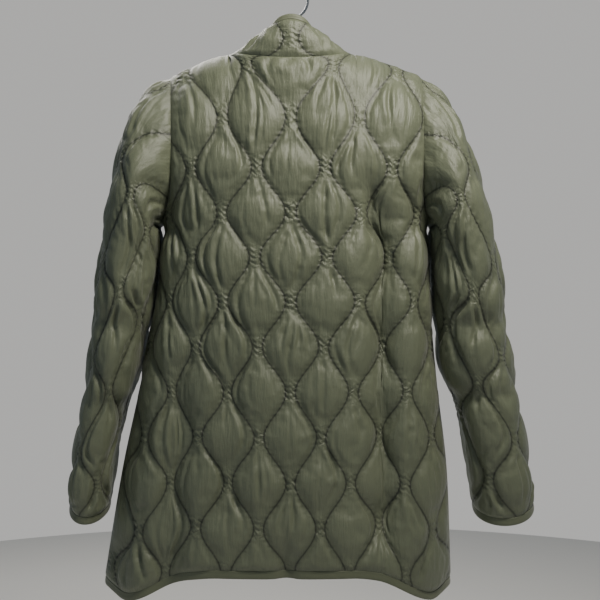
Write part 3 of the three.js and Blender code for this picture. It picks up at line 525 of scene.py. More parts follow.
def sleeve_seams(side, u, v, p):
    apart = np.abs(u)
    length = mix(SLEEVE_LENGTH, SLEEVE_LENGTH - CAP_HEIGHT, smooth(0, 1, apart))
    near_arm = 1 - smooth(0, 0.08, v)
    under = unit(points(-side * (1 - near_arm), 0, -near_arm))
    return nearest_seam([
        (v * length, seam_out_armhole(p)),
        ((1 - apart) * SLEEVES[side].cut(v), under),
        ((1 - v) * length, cuff_out(side, v, p)),
    ])


def sleeve_panel(side):
    return Panel(
        SIDE_NAMES[side] + "_sleeve",
        lambda u, v: sleeve_inside(side, u, v),
        lambda u, v: sleeve_flat(side, u, v),
        lambda u, v, p: sleeve_seams(side, u, v, p),
        SLEEVE_SPAN,
        bound=("head",),
        turn=-side,
    )


def collar_seams(u, v, p):
    return nearest_seam([
        (v * COLLAR_HEIGHT, seam_out_neck(p)),
        ((1 - v) * COLLAR_HEIGHT, collar_out(p)),
        ((COLLAR_EDGE - np.abs(u)) * COLLAR_CUT, unit(points(0 * u, -1, 0))),
    ])


def collar_panel():
    return Panel(
        "collar",
        collar_inside,
        lambda u, v: (u * COLLAR_CUT, v * COLLAR_HEIGHT - COLLAR_CELL),
        collar_seams,
        (2 * COLLAR_CUT, COLLAR_HEIGHT),
        bound=("head", "start", "finish"),
        u_range=(-COLLAR_EDGE, COLLAR_EDGE),
        turn=-1,
    )


# Meshes


def numbers(items, key, wide=1):
    out = np.empty(len(items) * wide)
    items.foreach_get(key, out)
    return out.reshape(-1, wide) if wide > 1 else out


def coords(mesh):
    return numbers(mesh.vertices, "co", 3)


def set_coords(mesh, where):
    mesh.vertices.foreach_set("co", np.ascontiguousarray(where, float).ravel())
    mesh.update()


def new_mesh(name, bm):
    mesh = bpy.data.meshes.new(name)
    bm.to_mesh(mesh)
    bm.free()
    return mesh


def add_object(name, data):
    obj = bpy.data.objects.new(name, data)
    bpy.context.scene.collection.objects.link(obj)
    return obj


def new_object(name, bm):
    obj = add_object(name, new_mesh(name, bm))
    obj.data.shade_smooth()
    return obj


def grid_object(name, columns, rows, flip=False):
    """A flat grid over 0 to 1 each way, for its points to be moved onto a surface."""
    bm = bmesh.new()
    bmesh.ops.create_grid(bm, x_segments=columns, y_segments=rows, size=0.5)
    bmesh.ops.translate(bm, verts=bm.verts, vec=(0.5, 0.5, 0))
    if flip:
        bmesh.ops.reverse_faces(bm, faces=bm.faces)
    return new_object(name, bm)


def panel_grid(panel, ending, step, flip):
    """A grid over a padded piece, and each point's place as shares of the piece."""
    columns, rows = (round(length / step) for length in panel.size)
    grid = grid_object(panel.name + ending, columns, rows, flip)
    return grid, coords(grid.data)


def store(mesh, name, values):
    """A number for each point of a mesh, which later subdivision carries on."""
    layer = mesh.attributes.new(name, "FLOAT", "POINT")
    layer.data.foreach_set("value", np.ascontiguousarray(values, float))


def read(mesh, name):
    return numbers(mesh.attributes[name].data, "value")


def finished_mesh(obj):
    """The mesh that an object's modifiers or bevels give."""
    graph = bpy.context.evaluated_depsgraph_get()
    return bpy.data.meshes.new_from_object(obj.evaluated_get(graph), depsgraph=graph)


def apply_modifiers(obj):
    mesh, old = finished_mesh(obj), obj.data
    obj.modifiers.clear()
    obj.data = mesh
    bpy.data.meshes.remove(old)


def subdivide(obj):
    finer = obj.modifiers.new("Finer", "SUBSURF")
    finer.levels = finer.render_levels = 1
    apply_modifiers(obj)


# The padded skin

CLOTH_FRAMES = 12
CLOTH_SETTINGS = {
    "quality": 4, "mass": 0.15, "air_damping": 4, "tension_stiffness": 20, "compression_stiffness": 20,
    "shear_stiffness": 6, "bending_stiffness": 0.06, "shrink_min": -0.015, "use_pressure": True,
    "uniform_pressure_force": 4.0, "vertex_group_mass": "held", "pin_stiffness": 5,
}
PIN_REACH = 2.9  # mm either side of a line of quilting that stays down
MOST_SHIFT = 6  # mm that a point may leave its modelled place
BOUND_THICK = 1.6  # mm at an edge that a binding or band covers
SEWN_THICK = 3.6  # mm at an edge that is sewn to another piece
LEAST_THICK = 2.2  # mm that the skin keeps above the plain inside
SKIN_RISE = 0.98  # how far the skin stands out, as a share of the modelled relief
SEAM_CALM = 0.55  # that share at a seam
SEAM_REACH = 42  # mm from a seam to the full relief
SEAM_HELD = 3.5  # mm beside a seam that the cloth is held down
CREASE_CLEAR = (6, 26)  # mm from a seam between which the creases set in
SKIN_FIELDS = ("across", "height", "away")  # kept at each point: the flat place and the nearest seam
DENT_DEEP = 0.35  # mm that the inside stands in or out beside a line of quilting
DENT_REACH = 12
ARM_PRESS = 4.6  # mm of extra padding at most where sleeve and body meet
ARM_CLEAR = 1.2  # mm left open between them
ARM_WIDE = 13  # mm from the side or underarm seam at which that padding thins out
ARM_LEAVES_Z = (-560, -480)  # where the left and the right sleeve leave the body
ARM_FADE = 15  # mm above and below that height over which the padding sets in
ARM_ENDS_Z = (-352, -342)  # where it ends, just under the armhole


def line_distance(across, height):
    """How far a flat place is from the nearest line of quilting, in mm."""
    share, width = quilt_cell(across, height)
    return np.minimum(share, 1 - share) * width


def arm_gap(side, z):
    """How far apart the insides of body and sleeve lie at a height."""
    ring = SLEEVES[side].table
    body_x = np.interp(z, LEVEL.table["edge_z"], LEVEL.table[SIDE_NAMES[side]])
    return np.interp(-z, -ring["in_z"], ring["in_x"]) - body_x


def arm_press(panel, u, base):
    """Fuller padding along the side and underarm seams, where the sleeve lies against the body."""
    x, z = base[:, 0], base[:, 2]
    low_u, high_u = panel.u_range
    apart = (1 - np.abs(u)) * panel.size[0] / (high_u - low_u)
    low = np.where(x > 0, *ARM_LEAVES_Z)
    level = smooth(low - ARM_FADE, low + ARM_FADE, z) * (1 - smooth(*ARM_ENDS_Z, z))
    open_gap = np.where(x > 0, arm_gap(1, z), arm_gap(-1, z)) - 2 * SEAM_THICK - ARM_CLEAR
    press = np.clip(open_gap / 2, 0, ARM_PRESS)
    return press * np.exp(-((apart / ARM_WIDE) ** 2)) * level


def padded_skin(panel):
    """The outer skin of a padded piece: modelled relief, then cloth puffed out between the lines."""
    skin, flat = panel_grid(panel, "_skin", GRID_STEP, panel.turn < 0)
    u, v = panel.place(flat[:, 0], flat[:, 1])
    base, out, across, height, away = panel.frame(u, v)
    calm = mix(SEAM_CALM, SKIN_RISE, smooth(0, SEAM_REACH, away))
    puffed = thickness(across, height, away, calm) + creases(across, height, away)
    press = arm_press(panel, u, base)
    sides = {"start": flat[:, 0], "finish": 1 - flat[:, 0], "foot": flat[:, 1], "head": 1 - flat[:, 1]}
    for side, distance in sides.items():
        at_edge = BOUND_THICK if side in panel.bound else SEWN_THICK
        puffed = np.where(distance < 1e-6, np.minimum(puffed, at_edge), puffed)
    start = (base + out * (puffed + press)[:, None]) * MM
    set_coords(skin.data, start)
    for name, values in zip(SKIN_FIELDS, (across, height, away)):
        store(skin.data, name, values)
    held = (line_distance(across, height) < PIN_REACH) | (away < SEAM_HELD)
    pins = skin.vertex_groups.new(name="held")
    pins.add([int(i) for i in np.nonzero(held)[0]], 1.0, "REPLACE")
    puff_up(skin, start)
    moved = coords(skin.data)
    rise = np.einsum("ij,ij->i", moved - base * MM, out)
    least = np.where(away < SEAM_HELD, 0, LEAST_THICK * MM)
    set_coords(skin.data, moved + out * np.maximum(least - rise, 0)[:, None])
    subdivide(skin)
    pucker(skin)
    return skin


def puff_up(skin, start):
    """Cloth under pressure, held down along the lines of quilting and the seams."""
    cloth = skin.modifiers.new("Puff", "CLOTH")
    for name, value in CLOTH_SETTINGS.items():
        setattr(cloth.settings, name, value)
    cloth.settings.effector_weights.gravity = 0
    cloth.collision_settings.use_collision = False
    cloth.point_cache.frame_end = CLOTH_FRAMES
    scene = bpy.context.scene
    for number in range(1, CLOTH_FRAMES + 1):
        scene.frame_set(number)
    apply_modifiers(skin)
    scene.frame_set(1)
    shift = coords(skin.data) - start
    size = np.linalg.norm(shift, axis=1, keepdims=True)
    limit = MOST_SHIFT * MM
    set_coords(skin.data, start + shift * np.where(size > limit, limit / np.maximum(size, 1e-9), 1))


PUCKER_WAVE = 8.6  # mm between puckers along a line of quilting
PUCKER_DEEP = 1.15
NECK_WIDTH = (17, 34)  # mm across a cell, between which the gathers of its neck fade out
CREASE_COUNT = 5
CREASE_DEEP = 3.0  # mm
FINE_CREASE = 0.9  # the share of the creases that is pressed in once more after the cloth has settled


def wobble(x, y, seed):
    """Soft unevenness from a few sines, the same each run."""
    a = np.sin(x * 0.021 + seed * 1.7) + np.sin(y * 0.033 + seed * 2.9 + x * 0.011)
    b = np.sin(x * 0.047 - y * 0.039 + seed * 0.7) + np.sin(y * 0.071 + seed * 4.1)
    return (a + b * 0.6) / 3.2


def chance(line, row, seed):
    """A fixed number from 0 to 1 for each cell."""
    mixed = np.sin(line * 12.9898 + row * 78.233 + seed * 37.719) * 43758.5453
    return mixed - np.floor(mixed)


def pucker(skin):
    """Small gathers square to the lines of quilting, deepest where two lines nearly meet."""
    mesh = skin.data
    across, height, away = (read(mesh, name) for name in SKIN_FIELDS)
    share, width = quilt_cell(across, height)
    near = np.minimum(share, 1 - share) * width
    narrow = 1 - smooth(*NECK_WIDTH, width)
    zigzag = 11 * np.abs(np.mod(across / 15 + 0.5 * wobble(across, height, 2.0), 1) - 0.5)
    along = height + 4 * wobble(across * 3, height * 2, 1.0) + near * 0.5 * (1 - narrow) + zigzag * narrow
    wave = np.sin(2 * math.pi * along / PUCKER_WAVE + 2.6 * wobble(across * 4, height * 2, 3.0))
    depth = PUCKER_DEEP * (0.3 + 1.2 * narrow) * np.exp(-near / (4.5 + 10 * narrow))
    depth *= smooth(1, 6, away) * (0.75 + 0.35 * wobble(across * 2, height * 3, 5.0))
    rise = wave * depth + creases(across, height, away) * FINE_CREASE
    way_out = numbers(mesh.vertex_normals, "vector", 3)
    set_coords(mesh, coords(mesh) + way_out * (rise[:, None] * MM))


def creases(across, height, away):
    """Upright creases that fan from the neck at the top of each cell, uneven in length and depth."""
    share, width = quilt_cell(across, height)
    line = np.floor(quilt_place(across, height))
    middle = np.where(np.mod(line, 2) == 0, WAVE_LENGTH / 2, 0)
    row = np.round((height - middle) / WAVE_LENGTH)
    down = (height - middle - row * WAVE_LENGTH) / (WAVE_LENGTH / 2)
    broad = smooth(15, 48, width)
    total = 0
    for number in range(CREASE_COUNT):
        place = 0.14 + 0.18 * number + 0.15 * (chance(line, row, number) - 0.5)
        lean = 0.22 * (chance(line, row, number + 10) - 0.5)
        bow = 0.03 * np.sin(down * 2.6 + 6 * chance(line, row, number + 20))
        foot = -0.75 + 1.1 * chance(line, row, number + 30)
        strength = 1.25 * chance(line, row, number + 40) ** 1.3
        apart = (share - place - lean * down - bow) * width
        length = smooth(foot - 0.25, foot + 0.3, down)
        trough = np.exp(-np.abs(apart / 2.7) ** 1.3)
        ridge = np.exp(-(((apart - 6.5) / 4) ** 2)) + 0.5 * np.exp(-(((apart + 6.5) / 4.5) ** 2))
        total = total + strength * length * (0.4 * ridge - trough)
    return CREASE_DEEP * total * broad * smooth(*CREASE_CLEAR, away)


def inner_face(panel):
    """The plain inside of a padded piece."""
    face, flat = panel_grid(panel, "_inside", INNER_STEP, panel.turn > 0)
    u, v = panel.place(flat[:, 0], flat[:, 1])
    base, out, across, height, _ = panel.frame(u, v)
    dents = DENT_DEEP * np.cos(math.pi * np.minimum(line_distance(across, height) / DENT_REACH, 1))
    set_coords(face.data, (base + out * dents[:, None]) * MM)
    return face


# Bindings, bands and other swept strips

STRIP_START = -1.2  # mm past the sewn edge at which a strip begins, here short of it
SECTION_ROUND = 0.45  # 1 would be an ellipse, 0 a rectangle
GROOVE_DEEP = 0.42  # a sewn groove, as shares of the strip's half thickness and half width
GROOVE_WIDE = 0.16
GATHER_WAVE = 7.3  # mm between the gathers beside a groove


def rounded(share):
    return np.sign(share) * np.abs(share) ** SECTION_ROUND


def swept(name, centre, along_a, along_b, half_a, half_b, sides=24, closed=False, grooves=(), ripple=0.05):
    """A strip with a rounded section carried along its stations, with grooves where it is sewn."""
    count = len(centre)
    spans = count if closed else count - 1
    length = np.concatenate([[0], np.cumsum(np.linalg.norm(np.diff(centre, axis=0), axis=1))])
    obj = grid_object(name, sides, spans)
    flat = coords(obj.data)
    turn = 2 * math.pi * flat[:, 0]
    row = np.round(flat[:, 1] * spans).astype(int) % count
    across = rounded(np.cos(turn))
    up = rounded(np.sin(turn)) * (1 - 0.25 * across**2)
    wide, thick = np.broadcast_to(half_a, count)[row], np.broadcast_to(half_b, count)[row]
    gather = ripple * np.sin(2 * math.pi * length[row] / GATHER_WAVE + 1.7 * np.sin(length[row] / 31))
    for groove in grooves:
        dip = GROOVE_DEEP * np.exp(-(((across - groove) / GROOVE_WIDE) ** 2))
        up = up * (1 - dip + gather * np.exp(-(((across - groove) / 0.5) ** 2)))
    place = centre[row] + along_a[row] * (across * wide)[:, None] + along_b[row] * (up * thick)[:, None]
    set_coords(obj.data, place * MM)
    bm = bmesh.new()
    bm.from_mesh(obj.data)
    bmesh.ops.remove_doubles(bm, verts=bm.verts, dist=1e-6)
    bmesh.ops.holes_fill(bm, edges=[edge for edge in bm.edges if edge.is_boundary], sides=0)
    bmesh.ops.recalc_face_normals(bm, faces=bm.faces)
    bm.to_mesh(obj.data)
    bm.free()
    obj.data.shade_smooth()
    return obj


def edge_strip(name, edge, on, out, wide, thick=BINDING_THICK, **more):
    """A strip that starts at a sewn edge and goes on past it."""
    half_a = (wide - STRIP_START) / 2
    centre = edge + on * (STRIP_START + half_a) + out * (thick / 2)
    return swept(name, centre, on, out, half_a, thick / 2, **more)


def steady(x, y, z, where):
    """One direction, repeated for each station."""
    return np.broadcast_to([float(x), float(y), float(z)], where.shape)


def hem_binding():
    edge = {side: front_edge(side, np.zeros(1))[0] for side in (1, -1)}
    fronts = {side: side * np.linspace(edge[side], 1, 90) for side in (1, -1)}
    rounds = [(False, fronts[1]), (True, np.linspace(1, -1, 180)[1:-1]), (False, fronts[-1][::-1])]
    where, outs = [], []
    for back, u in rounds:
        q = np.zeros_like(u)
        p = body_inside(True, u, q) if back else front_inside(u, q)
        where.append(p)
        outs.append(body_seams(back, u, q, p, None if back else edge[1])[1])
    where, outs = np.concatenate(where), np.concatenate(outs)
    return edge_strip("hem_edge", where, steady(0, 0, -1, where), outs, BINDING_WIDE, grooves=(-0.55,))


def cuff_binding(side):
    f = np.linspace(-1, 1, 141)[1:]
    one = np.ones_like(f)
    edge = sleeve_inside(side, f, one)
    on = unit(edge - sleeve_inside(side, f, 0.97 * one))
    name, out = SIDE_NAMES[side] + "_cuff_edge", cuff_out(side, one, edge)
    return edge_strip(name, edge, on, out, BINDING_WIDE, closed=True, grooves=(-0.55,))


def collar_binding():
    u = np.linspace(-COLLAR_EDGE, COLLAR_EDGE, 160)
    one = np.ones_like(u)
    edge = collar_inside(u, one)
    on = unit(edge - collar_inside(u, 0.9 * one))
    return edge_strip("collar_edge", edge, on, collar_out(edge), 0.7 * BINDING_WIDE, grooves=(-0.5,))


def front_band(side):
    q = np.linspace(0, 1 - BAND_TOP_DROP / BACK_LENGTH, 200)
    edge = front_inside(side * front_edge(side, q), q)
    return edge_strip(
        SIDE_NAMES[side] + "_band", edge, steady(-side, 0, 0, edge),
        steady(0, -1, 0, edge), 2 * BAND_HALF, BAND_THICK, sides=40, grooves=(-0.82, 0.82), ripple=0.02,
    )


# Press studs and hanger

STUD_COUNT = 6
STUD_RANGE = (0.07, 0.93)  # the lowest and the highest stud, as shares of the front's length
STUD_RADIUS = 6.2
STUD_HEIGHT = 2.6
STUD_PROFILE = [  # how far out and how far forward, as shares of the radius and the height
    (0, 0.72), (0.35, 0.74), (0.62, 0.7), (0.74, 0.6), (0.8, 0.78), (0.9, 0.98), (0.97, 0.9), (1, 0.5),
    (0.99, 0.12), (0.92, 0), (0, 0),
]


def press_stud(number):
    """A turned cap with a raised rim round a shallow dish."""
    q = np.array([mix(*STUD_RANGE, number / (STUD_COUNT - 1))])
    seat = front_inside(-front_edge(-1, q), q)[0]
    back_y = seat[1] - BAND_THICK - SEAM_GAP
    bm = bmesh.new()
    profile = [
        bm.verts.new((STUD_RADIUS * out * MM, (back_y - STUD_HEIGHT * forward) * MM, seat[2] * MM))
        for out, forward in STUD_PROFILE
    ]
    edges = [bm.edges.new(pair) for pair in zip(profile, profile[1:])]
    bmesh.ops.spin(
        bm, geom=profile + edges, cent=(0, back_y * MM, seat[2] * MM), axis=(0, 1, 0),
        angle=2 * math.pi, steps=40, use_merge=True,
    )
    bmesh.ops.remove_doubles(bm, verts=bm.verts, dist=1e-6)
    bmesh.ops.recalc_face_normals(bm, faces=bm.faces)
    return new_object(f"press_stud_{number + 1}_cap", bm)


WIRE_RADIUS = 1.9
HOOK_RADIUS = 26
HOOK_MIDDLE = (4, -26)
HOOK_STEM = 14  # of straight wire just below the loop
HANGER_TOP_Z = -98
HANGER_REACH = 160
HANGER_HALF_THICK = 4.2
HANGER_TALL = 20
HANGER_NECK_HALF = 45
HANGER_NECK_CLEAR = 6


def hanger_hook():
    """The wire rises from the hanger and turns most of a circle over the rail."""
    reach = HOOK_RADIUS + WIRE_RADIUS
    middle_x, middle_z = HOOK_MIDDLE
    foot = middle_z - reach
    route = [(0, HANGER_TOP_Z + SEAM_GAP), (0, foot - 2 * HOOK_STEM), (0, foot - HOOK_STEM)]
    route.append((-8, middle_z - reach * 0.97))
    for degrees in range(-128, -353, -14):
        turn = math.radians(degrees)
        route.append((middle_x + reach * math.cos(turn), middle_z + reach * math.sin(turn)))
    curve = bpy.data.curves.new("hook_route", "CURVE")
    curve.dimensions = "3D"
    spline = curve.splines.new("BEZIER")
    spline.bezier_points.add(len(route) - 1)
    for point, (x, z) in zip(spline.bezier_points, route):
        point.co = (x * MM, 0, z * MM)
        point.handle_left_type = "AUTO"
        point.handle_right_type = "AUTO"
    spline.resolution_u = 8
    curve.bevel_depth = WIRE_RADIUS * MM
    curve.bevel_resolution = 6
    curve.use_fill_caps = True
    wire = add_object("hook_wire", curve)
    mesh = finished_mesh(wire)
    mesh.shade_smooth()
    bpy.data.objects.remove(wire)
    return add_object("hook_wire", mesh)


def hanger_arms():
    """Both arms follow the shoulder seams from inside, with a rise at the neck for the hook."""
    x = np.linspace(-HANGER_REACH, HANGER_REACH, 121)
    far = np.abs(x)
    half = np.where(x > 0, LEVEL.left(1.0), LEVEL.right(1.0))
    out = np.maximum((far - NECK_POINT[0]) / (half - NECK_POINT[0]), 0)
    seam = body_inside(True, np.sign(x) * mix(NECK_SHARE, 1, out), np.ones_like(x))
    rise = 1 - smooth(0, HANGER_NECK_HALF, far)
    clear = np.where(far < NECK_POINT[0] + HANGER_NECK_CLEAR, HANGER_NECK_CLEAR * (1 - rise), 0)
    top = mix(seam[:, 2] - SEAM_GAP - 0.4, HANGER_TOP_Z, rise) - clear
    share = far / HANGER_REACH
    tall = HANGER_TALL * (1 - 0.35 * smooth(0.6, 1, share))
    end = np.sqrt(np.maximum(1 - smooth(0.97, 1.001, share), 0.02))
    centre = points(x, seam[:, 1], top - tall / 2)
    down, back = steady(0, 0, -1, centre), steady(0, 1, 0, centre)
    return swept("hanger_body", centre, down, back, tall / 2 * end, HANGER_HALF_THICK * end, sides=28)


# Stitches

STITCH_LONG = 3.1
STITCH_STEP = 4.2
STITCH_WIDE = 0.62
STITCH_CLEAR = 5  # mm from a seam to the nearest stitch


def stitch_shape():
    bm = bmesh.new()
    bmesh.ops.create_cube(bm, size=1)
    bmesh.ops.bevel(
        bm, geom=list(bm.edges), offset=0.28, offset_type="OFFSET", segments=1, profile=0.5,
        affect="EDGES", material=-1,
    )
    bmesh.ops.scale(bm, verts=bm.verts, vec=(STITCH_LONG * MM, STITCH_WIDE * MM, STITCH_WIDE * 0.8 * MM))
    return new_mesh("stitch_shape", bm)


def quilting_places(panel):
    """The middle, the run and the way out of each stitch along the panel's lines of quilting."""
    rows = round(panel.size[1] / STITCH_STEP)
    s = np.linspace(0, 1, 500)
    found = []
    for v in (np.arange(rows) + 0.5) / rows:
        u, q = panel.place(s, np.full_like(s, v))
        across, height = panel.flat(u, q)
        place = quilt_place(across, height)
        lines = np.arange(math.ceil(place.min() + 0.02), math.floor(place.max() - 0.02) + 1)
        order = np.argsort(place)
        for line, share in zip(lines, np.interp(lines, place[order], s[order])):
            found.append((line, v, share))
    line, v, share = (np.array(column) for column in zip(*found))
    ahead = v + 0.3 / rows
    next_share = share.copy()
    for number in np.unique(line):
        chosen = line == number
        next_share[chosen] = np.interp(ahead[chosen], v[chosen], share[chosen])
    u, q = panel.place(share, v)
    p, out, _, _, away = panel.frame(u, q)
    u2, q2 = panel.place(next_share, np.minimum(ahead, 1))
    run = unit(panel.inside(u2, q2) - p)
    keep = away > STITCH_CLEAR
    return p[keep] + out[keep] * STITCH_THICK, run[keep], out[keep]


def scattered(name, shape, places, run, out):
    """One joined mesh of a small shape repeated at each place, its X along the run."""
    side = unit(np.cross(out, run))
    up = unit(np.cross(run, side))
    turn = np.stack([run, side, up], axis=1)
    form = coords(shape)
    faces = [tuple(face.vertices) for face in shape.polygons]
    moved = form @ turn + places[:, None, :]
    joined = [
        tuple(len(form) * number + corner for corner in face)
        for number in range(len(places))
        for face in faces
    ]
    mesh = bpy.data.meshes.new(name)
    mesh.from_pydata(moved.reshape(-1, 3), [], joined)
    mesh.update()
    return add_object(name, mesh)


def quilting_stitches(panel, skin, shape):
    """The stitches, laid on the finished skin where the lines of quilting hold it down."""
    places, run, out = quilting_places(panel)
    mesh = skin.data
    tree = BVHTree.FromPolygons(
        [tuple(p) for p in coords(mesh)], [tuple(face.vertices) for face in mesh.polygons]
    )
    seated = []
    for place, way in zip(places * MM, out):
        hit = tree.find_nearest(Vector(place))
        seated.append(np.array(hit[0]) + way * (STITCH_WIDE * 0.1 * MM))
    return scattered(panel.name + "_stitches", shape, np.array(seated), run, out)


# Materials


class Value:
    """A number that runs through a material's nodes, so that shader maths reads as Python."""

    def __init__(self, tree, socket):
        self.tree, self.socket = tree, socket

    def math(self, operation, *others, first=None):
        node = self.tree.nodes.new("ShaderNodeMath")
        node.operation = operation
        for slot, value in zip(node.inputs, [first if first is not None else self, *others]):
            if isinstance(value, Value):
                self.tree.links.new(value.socket, slot)
            else:
                slot.default_value = value
        return Value(self.tree, node.outputs[0])

    def __rsub__(self, other):
        return self.math("SUBTRACT", self, first=other)

    __add__ = __radd__ = partialmethod(math, "ADD")
    __mul__ = __rmul__ = partialmethod(math, "MULTIPLY")
    __sub__ = partialmethod(math, "SUBTRACT")
    __truediv__ = partialmethod(math, "DIVIDE")
    __pow__ = partialmethod(math, "POWER")
    sine = partialmethod(math, "SINE")
    cosine = partialmethod(math, "COSINE")
    size = partialmethod(math, "ABSOLUTE")
    least = partialmethod(math, "MINIMUM")
    most = partialmethod(math, "MAXIMUM")
    rest = partialmethod(math, "FLOORED_MODULO")

    def fading(self):
        return (self * -1.0).math("EXPONENT")


class Finish:
    """A material under a Principled shader, with one method for any other node."""

    def __init__(self, name, **sockets):
        self.material = bpy.data.materials.new(name)
        self.material.use_nodes = True
        self.tree = self.material.node_tree
        self.tree.nodes.clear()
        self.shader = self.tree.nodes.new("ShaderNodeBsdfPrincipled")
        output = self.tree.nodes.new("ShaderNodeOutputMaterial")
        self.tree.links.new(self.shader.outputs["BSDF"], output.inputs["Surface"])
        self.set(self.shader, sockets)
        self.place = self.node("ShaderNodeTexCoord", output="Object")

    def set(self, node, sockets):
        for name, value in sockets.items():
            slot = node.inputs[name]
            if isinstance(value, Value):
                self.tree.links.new(value.socket, slot)
            elif isinstance(value, bpy.types.NodeSocket):
                self.tree.links.new(value, slot)
            else:
                slot.default_value = value

    def node(self, kind, settings=None, sockets=None, output=0):
        node = self.tree.nodes.new(kind)
        for name, value in (settings or {}).items():
            setattr(node, name, value)
        self.set(node, sockets or {})
        return node.outputs[output]

    def value(self, socket):
        return Value(self.tree, socket)

    def parts(self, vector):
        """The x, y and z of a vector."""
        first = self.node("ShaderNodeSeparateXYZ", None, {"Vector": vector})
        return [self.value(part) for part in first.node.outputs]

    def uv(self):
        return self.node("ShaderNodeUVMap", {"uv_map": "cloth"})

    def noise(self, scale, detail=2.0, roughness=0.5, vector=None):
        """A noise on the piece's own place, or on another vector."""
        sockets = {"Scale": scale, "Detail": detail, "Roughness": roughness}
        sockets["Vector"] = self.place if vector is None else vector
        return self.value(self.node("ShaderNodeTexNoise", {"noise_dimensions": "3D"}, sockets, "Fac"))

    def blend(self, share, first, second):
        """A mix of two colours, whose sockets on the node are numbers 6 and 7."""
        return self.node("ShaderNodeMix", {"data_type": "RGBA"}, {0: share, 6: first, 7: second}, output=2)

    def bump(self, height, distance, strength=1.0, under=None):
        sockets = {"Height": height, "Distance": distance, "Strength": strength}
        if under is not None:
            sockets["Normal"] = under
        return self.node("ShaderNodeBump", None, sockets)

    def feed(self, **sockets):
        self.set(self.shader, {name.replace("_", " "): value for name, value in sockets.items()})
        return self.material


def colour(red, green, blue):
    """An sRGB colour from 0 to 255, as the linear values that a shader takes."""
    linear = [c / 255 / 12.92 if c <= 10 else ((c / 255 + 0.055) / 1.055) ** 2.4 for c in (red, green, blue)]
    return (*linear, 1)


OLIVE_LIGHT = colour(106, 111, 90)
OLIVE = colour(92, 98, 79)
# Painted shade: the dark olive that the nylon's colour turns to in the grooves along the lines of quilting
OLIVE_PAINTED_SHADE = colour(25, 28, 21)
OLIVE_INSIDE = colour(82, 85, 68)
THREAD = colour(58, 61, 47)
THREADS_PER_METRE = 1700
WEAVE_DEEP = 0.00009
RIBS = 3900.0  # of the tape, in radians a metre
GROOVE_PAINTED_SHADE = 0.44  # how dark the painted shade in the grooves beside a line of quilting is
LINE_PAINTED_SHADE = 0.5  # and how much darker the painted shade on the line itself is
GATHER_STEP = 7.4  # mm between the gathers in the neck of a cell


def weave(finish):
    """Fine plain weave as bump height, from sines across and along the flat cut."""
    across, along, _ = finish.parts(finish.uv())
    turn = 2 * math.pi * THREADS_PER_METRE
    return (across * turn).sine() * (along * turn).sine()


def quilting(finish):
    """The distances to the nearest line of each family and the place in the flat cut, all in mm."""
    across, height = (part * (1 / MM) for part in finish.parts(finish.uv())[:2])
    phase = height * (2 * math.pi / WAVE_LENGTH)
    swing = phase.cosine() * WAVE_SWING
    even = ((across - swing + LINE_STEP / 2).rest(CELL_PITCH) - LINE_STEP).size()
    odd = ((across + swing - LINE_STEP / 2).rest(CELL_PITCH) - LINE_STEP).size()
    slope = phase.sine() * (WAVE_SWING * 2 * math.pi / WAVE_LENGTH)
    lean = (1.0 + slope * slope) ** 0.5
    return even / lean, odd / lean, across, height


def nylon(name):
    """Smooth padded nylon: a faint weave, a satin gloss, tight gathers at the stitching, and painted shade
    that darkens the colour in the grooves along the lines of quilting.
    """
    finish = Finish(name)
    finish.set(finish.shader, {"Sheen Weight": 0.12, "Sheen Roughness": 0.4, "Specular IOR Level": 0.5})
    drift = finish.noise(5.5, 3.0, 0.55)
    fine = finish.noise(60.0, 3.0, 0.6)
    base = finish.blend(drift * 0.8 + fine * 0.25, OLIVE, OLIVE_LIGHT)
    even, odd, across, height = quilting(finish)
    near = even.least(odd)
    # Painted shade: the colour darkens towards each line of quilting, where the grooves lie in shade, and
    # most on the line itself
    shade = (near / 4.5).fading() * GROOVE_PAINTED_SHADE + ((near / 1.25) ** 2.0).fading() * LINE_PAINTED_SHADE
    base = finish.blend(shade.least(0.9), base, OLIVE_PAINTED_SHADE)
    neck = (1.0 - (even + odd - 13.0) / 13.0).most(0.0).least(1.0)
    zigzag = (across * 0.42 + fine * 9.0).sine() * 2.2
    gather = (height * (2 * math.pi / GATHER_STEP) + zigzag + fine * 10.0).sine() * neck * (fine * 1.6)
    gather = gather + (height * (2 * math.pi / 7.9) + fine * 9.0).sine() * (near / 4.0).fading() * 0.5
    stretched = finish.node(
        "ShaderNodeMapping", None, {"Vector": finish.uv(), "Scale": (150.0, 26.0, 1.0)}, output="Vector"
    )
    rumpled = finish.noise(1.0, 3.0, 0.55, stretched)
    bumped = finish.bump(gather, 0.0008, 0.6)
    bumped = finish.bump(rumpled, 0.0035, 0.55, bumped)
    bumped = finish.bump(finish.noise(120.0, 3.0, 0.6), 0.0011, 0.4, bumped)
    bumped = finish.bump(weave(finish), WEAVE_DEEP, 0.4, bumped)
    return finish.feed(Base_Color=base, Roughness=0.36 + fine * 0.12, Normal=bumped)


def plain_lining():
    finish = Finish("Inner_nylon", Roughness=0.6)
    drift = finish.noise(9.0, 3.0)
    base = finish.blend(drift, colour(74, 75, 60), OLIVE_INSIDE)
    bumped = finish.bump(finish.noise(55.0, 3.0), 0.0015, 0.4)
    return finish.feed(Base_Color=base, Normal=bumped)


def tape():
    """Ribbed nylon tape for the bindings and bands."""
    finish = Finish("Edge_tape", Roughness=0.52)
    finish.set(finish.shader, {"Sheen Weight": 0.18, "Specular IOR Level": 0.4})
    drift = finish.noise(14.0, 3.0)
    base = finish.blend(drift, colour(84, 89, 70), colour(100, 105, 83))
    x, y, z = finish.parts(finish.place)
    ribs = ((x + y * 0.7) * RIBS).sine() * (z * RIBS).sine()
    bumped = finish.bump(finish.noise(140.0, 3.0), 0.0008, 0.4)
    bumped = finish.bump(ribs, 0.00008, 0.5, bumped)
    return finish.feed(Base_Color=base, Normal=bumped)


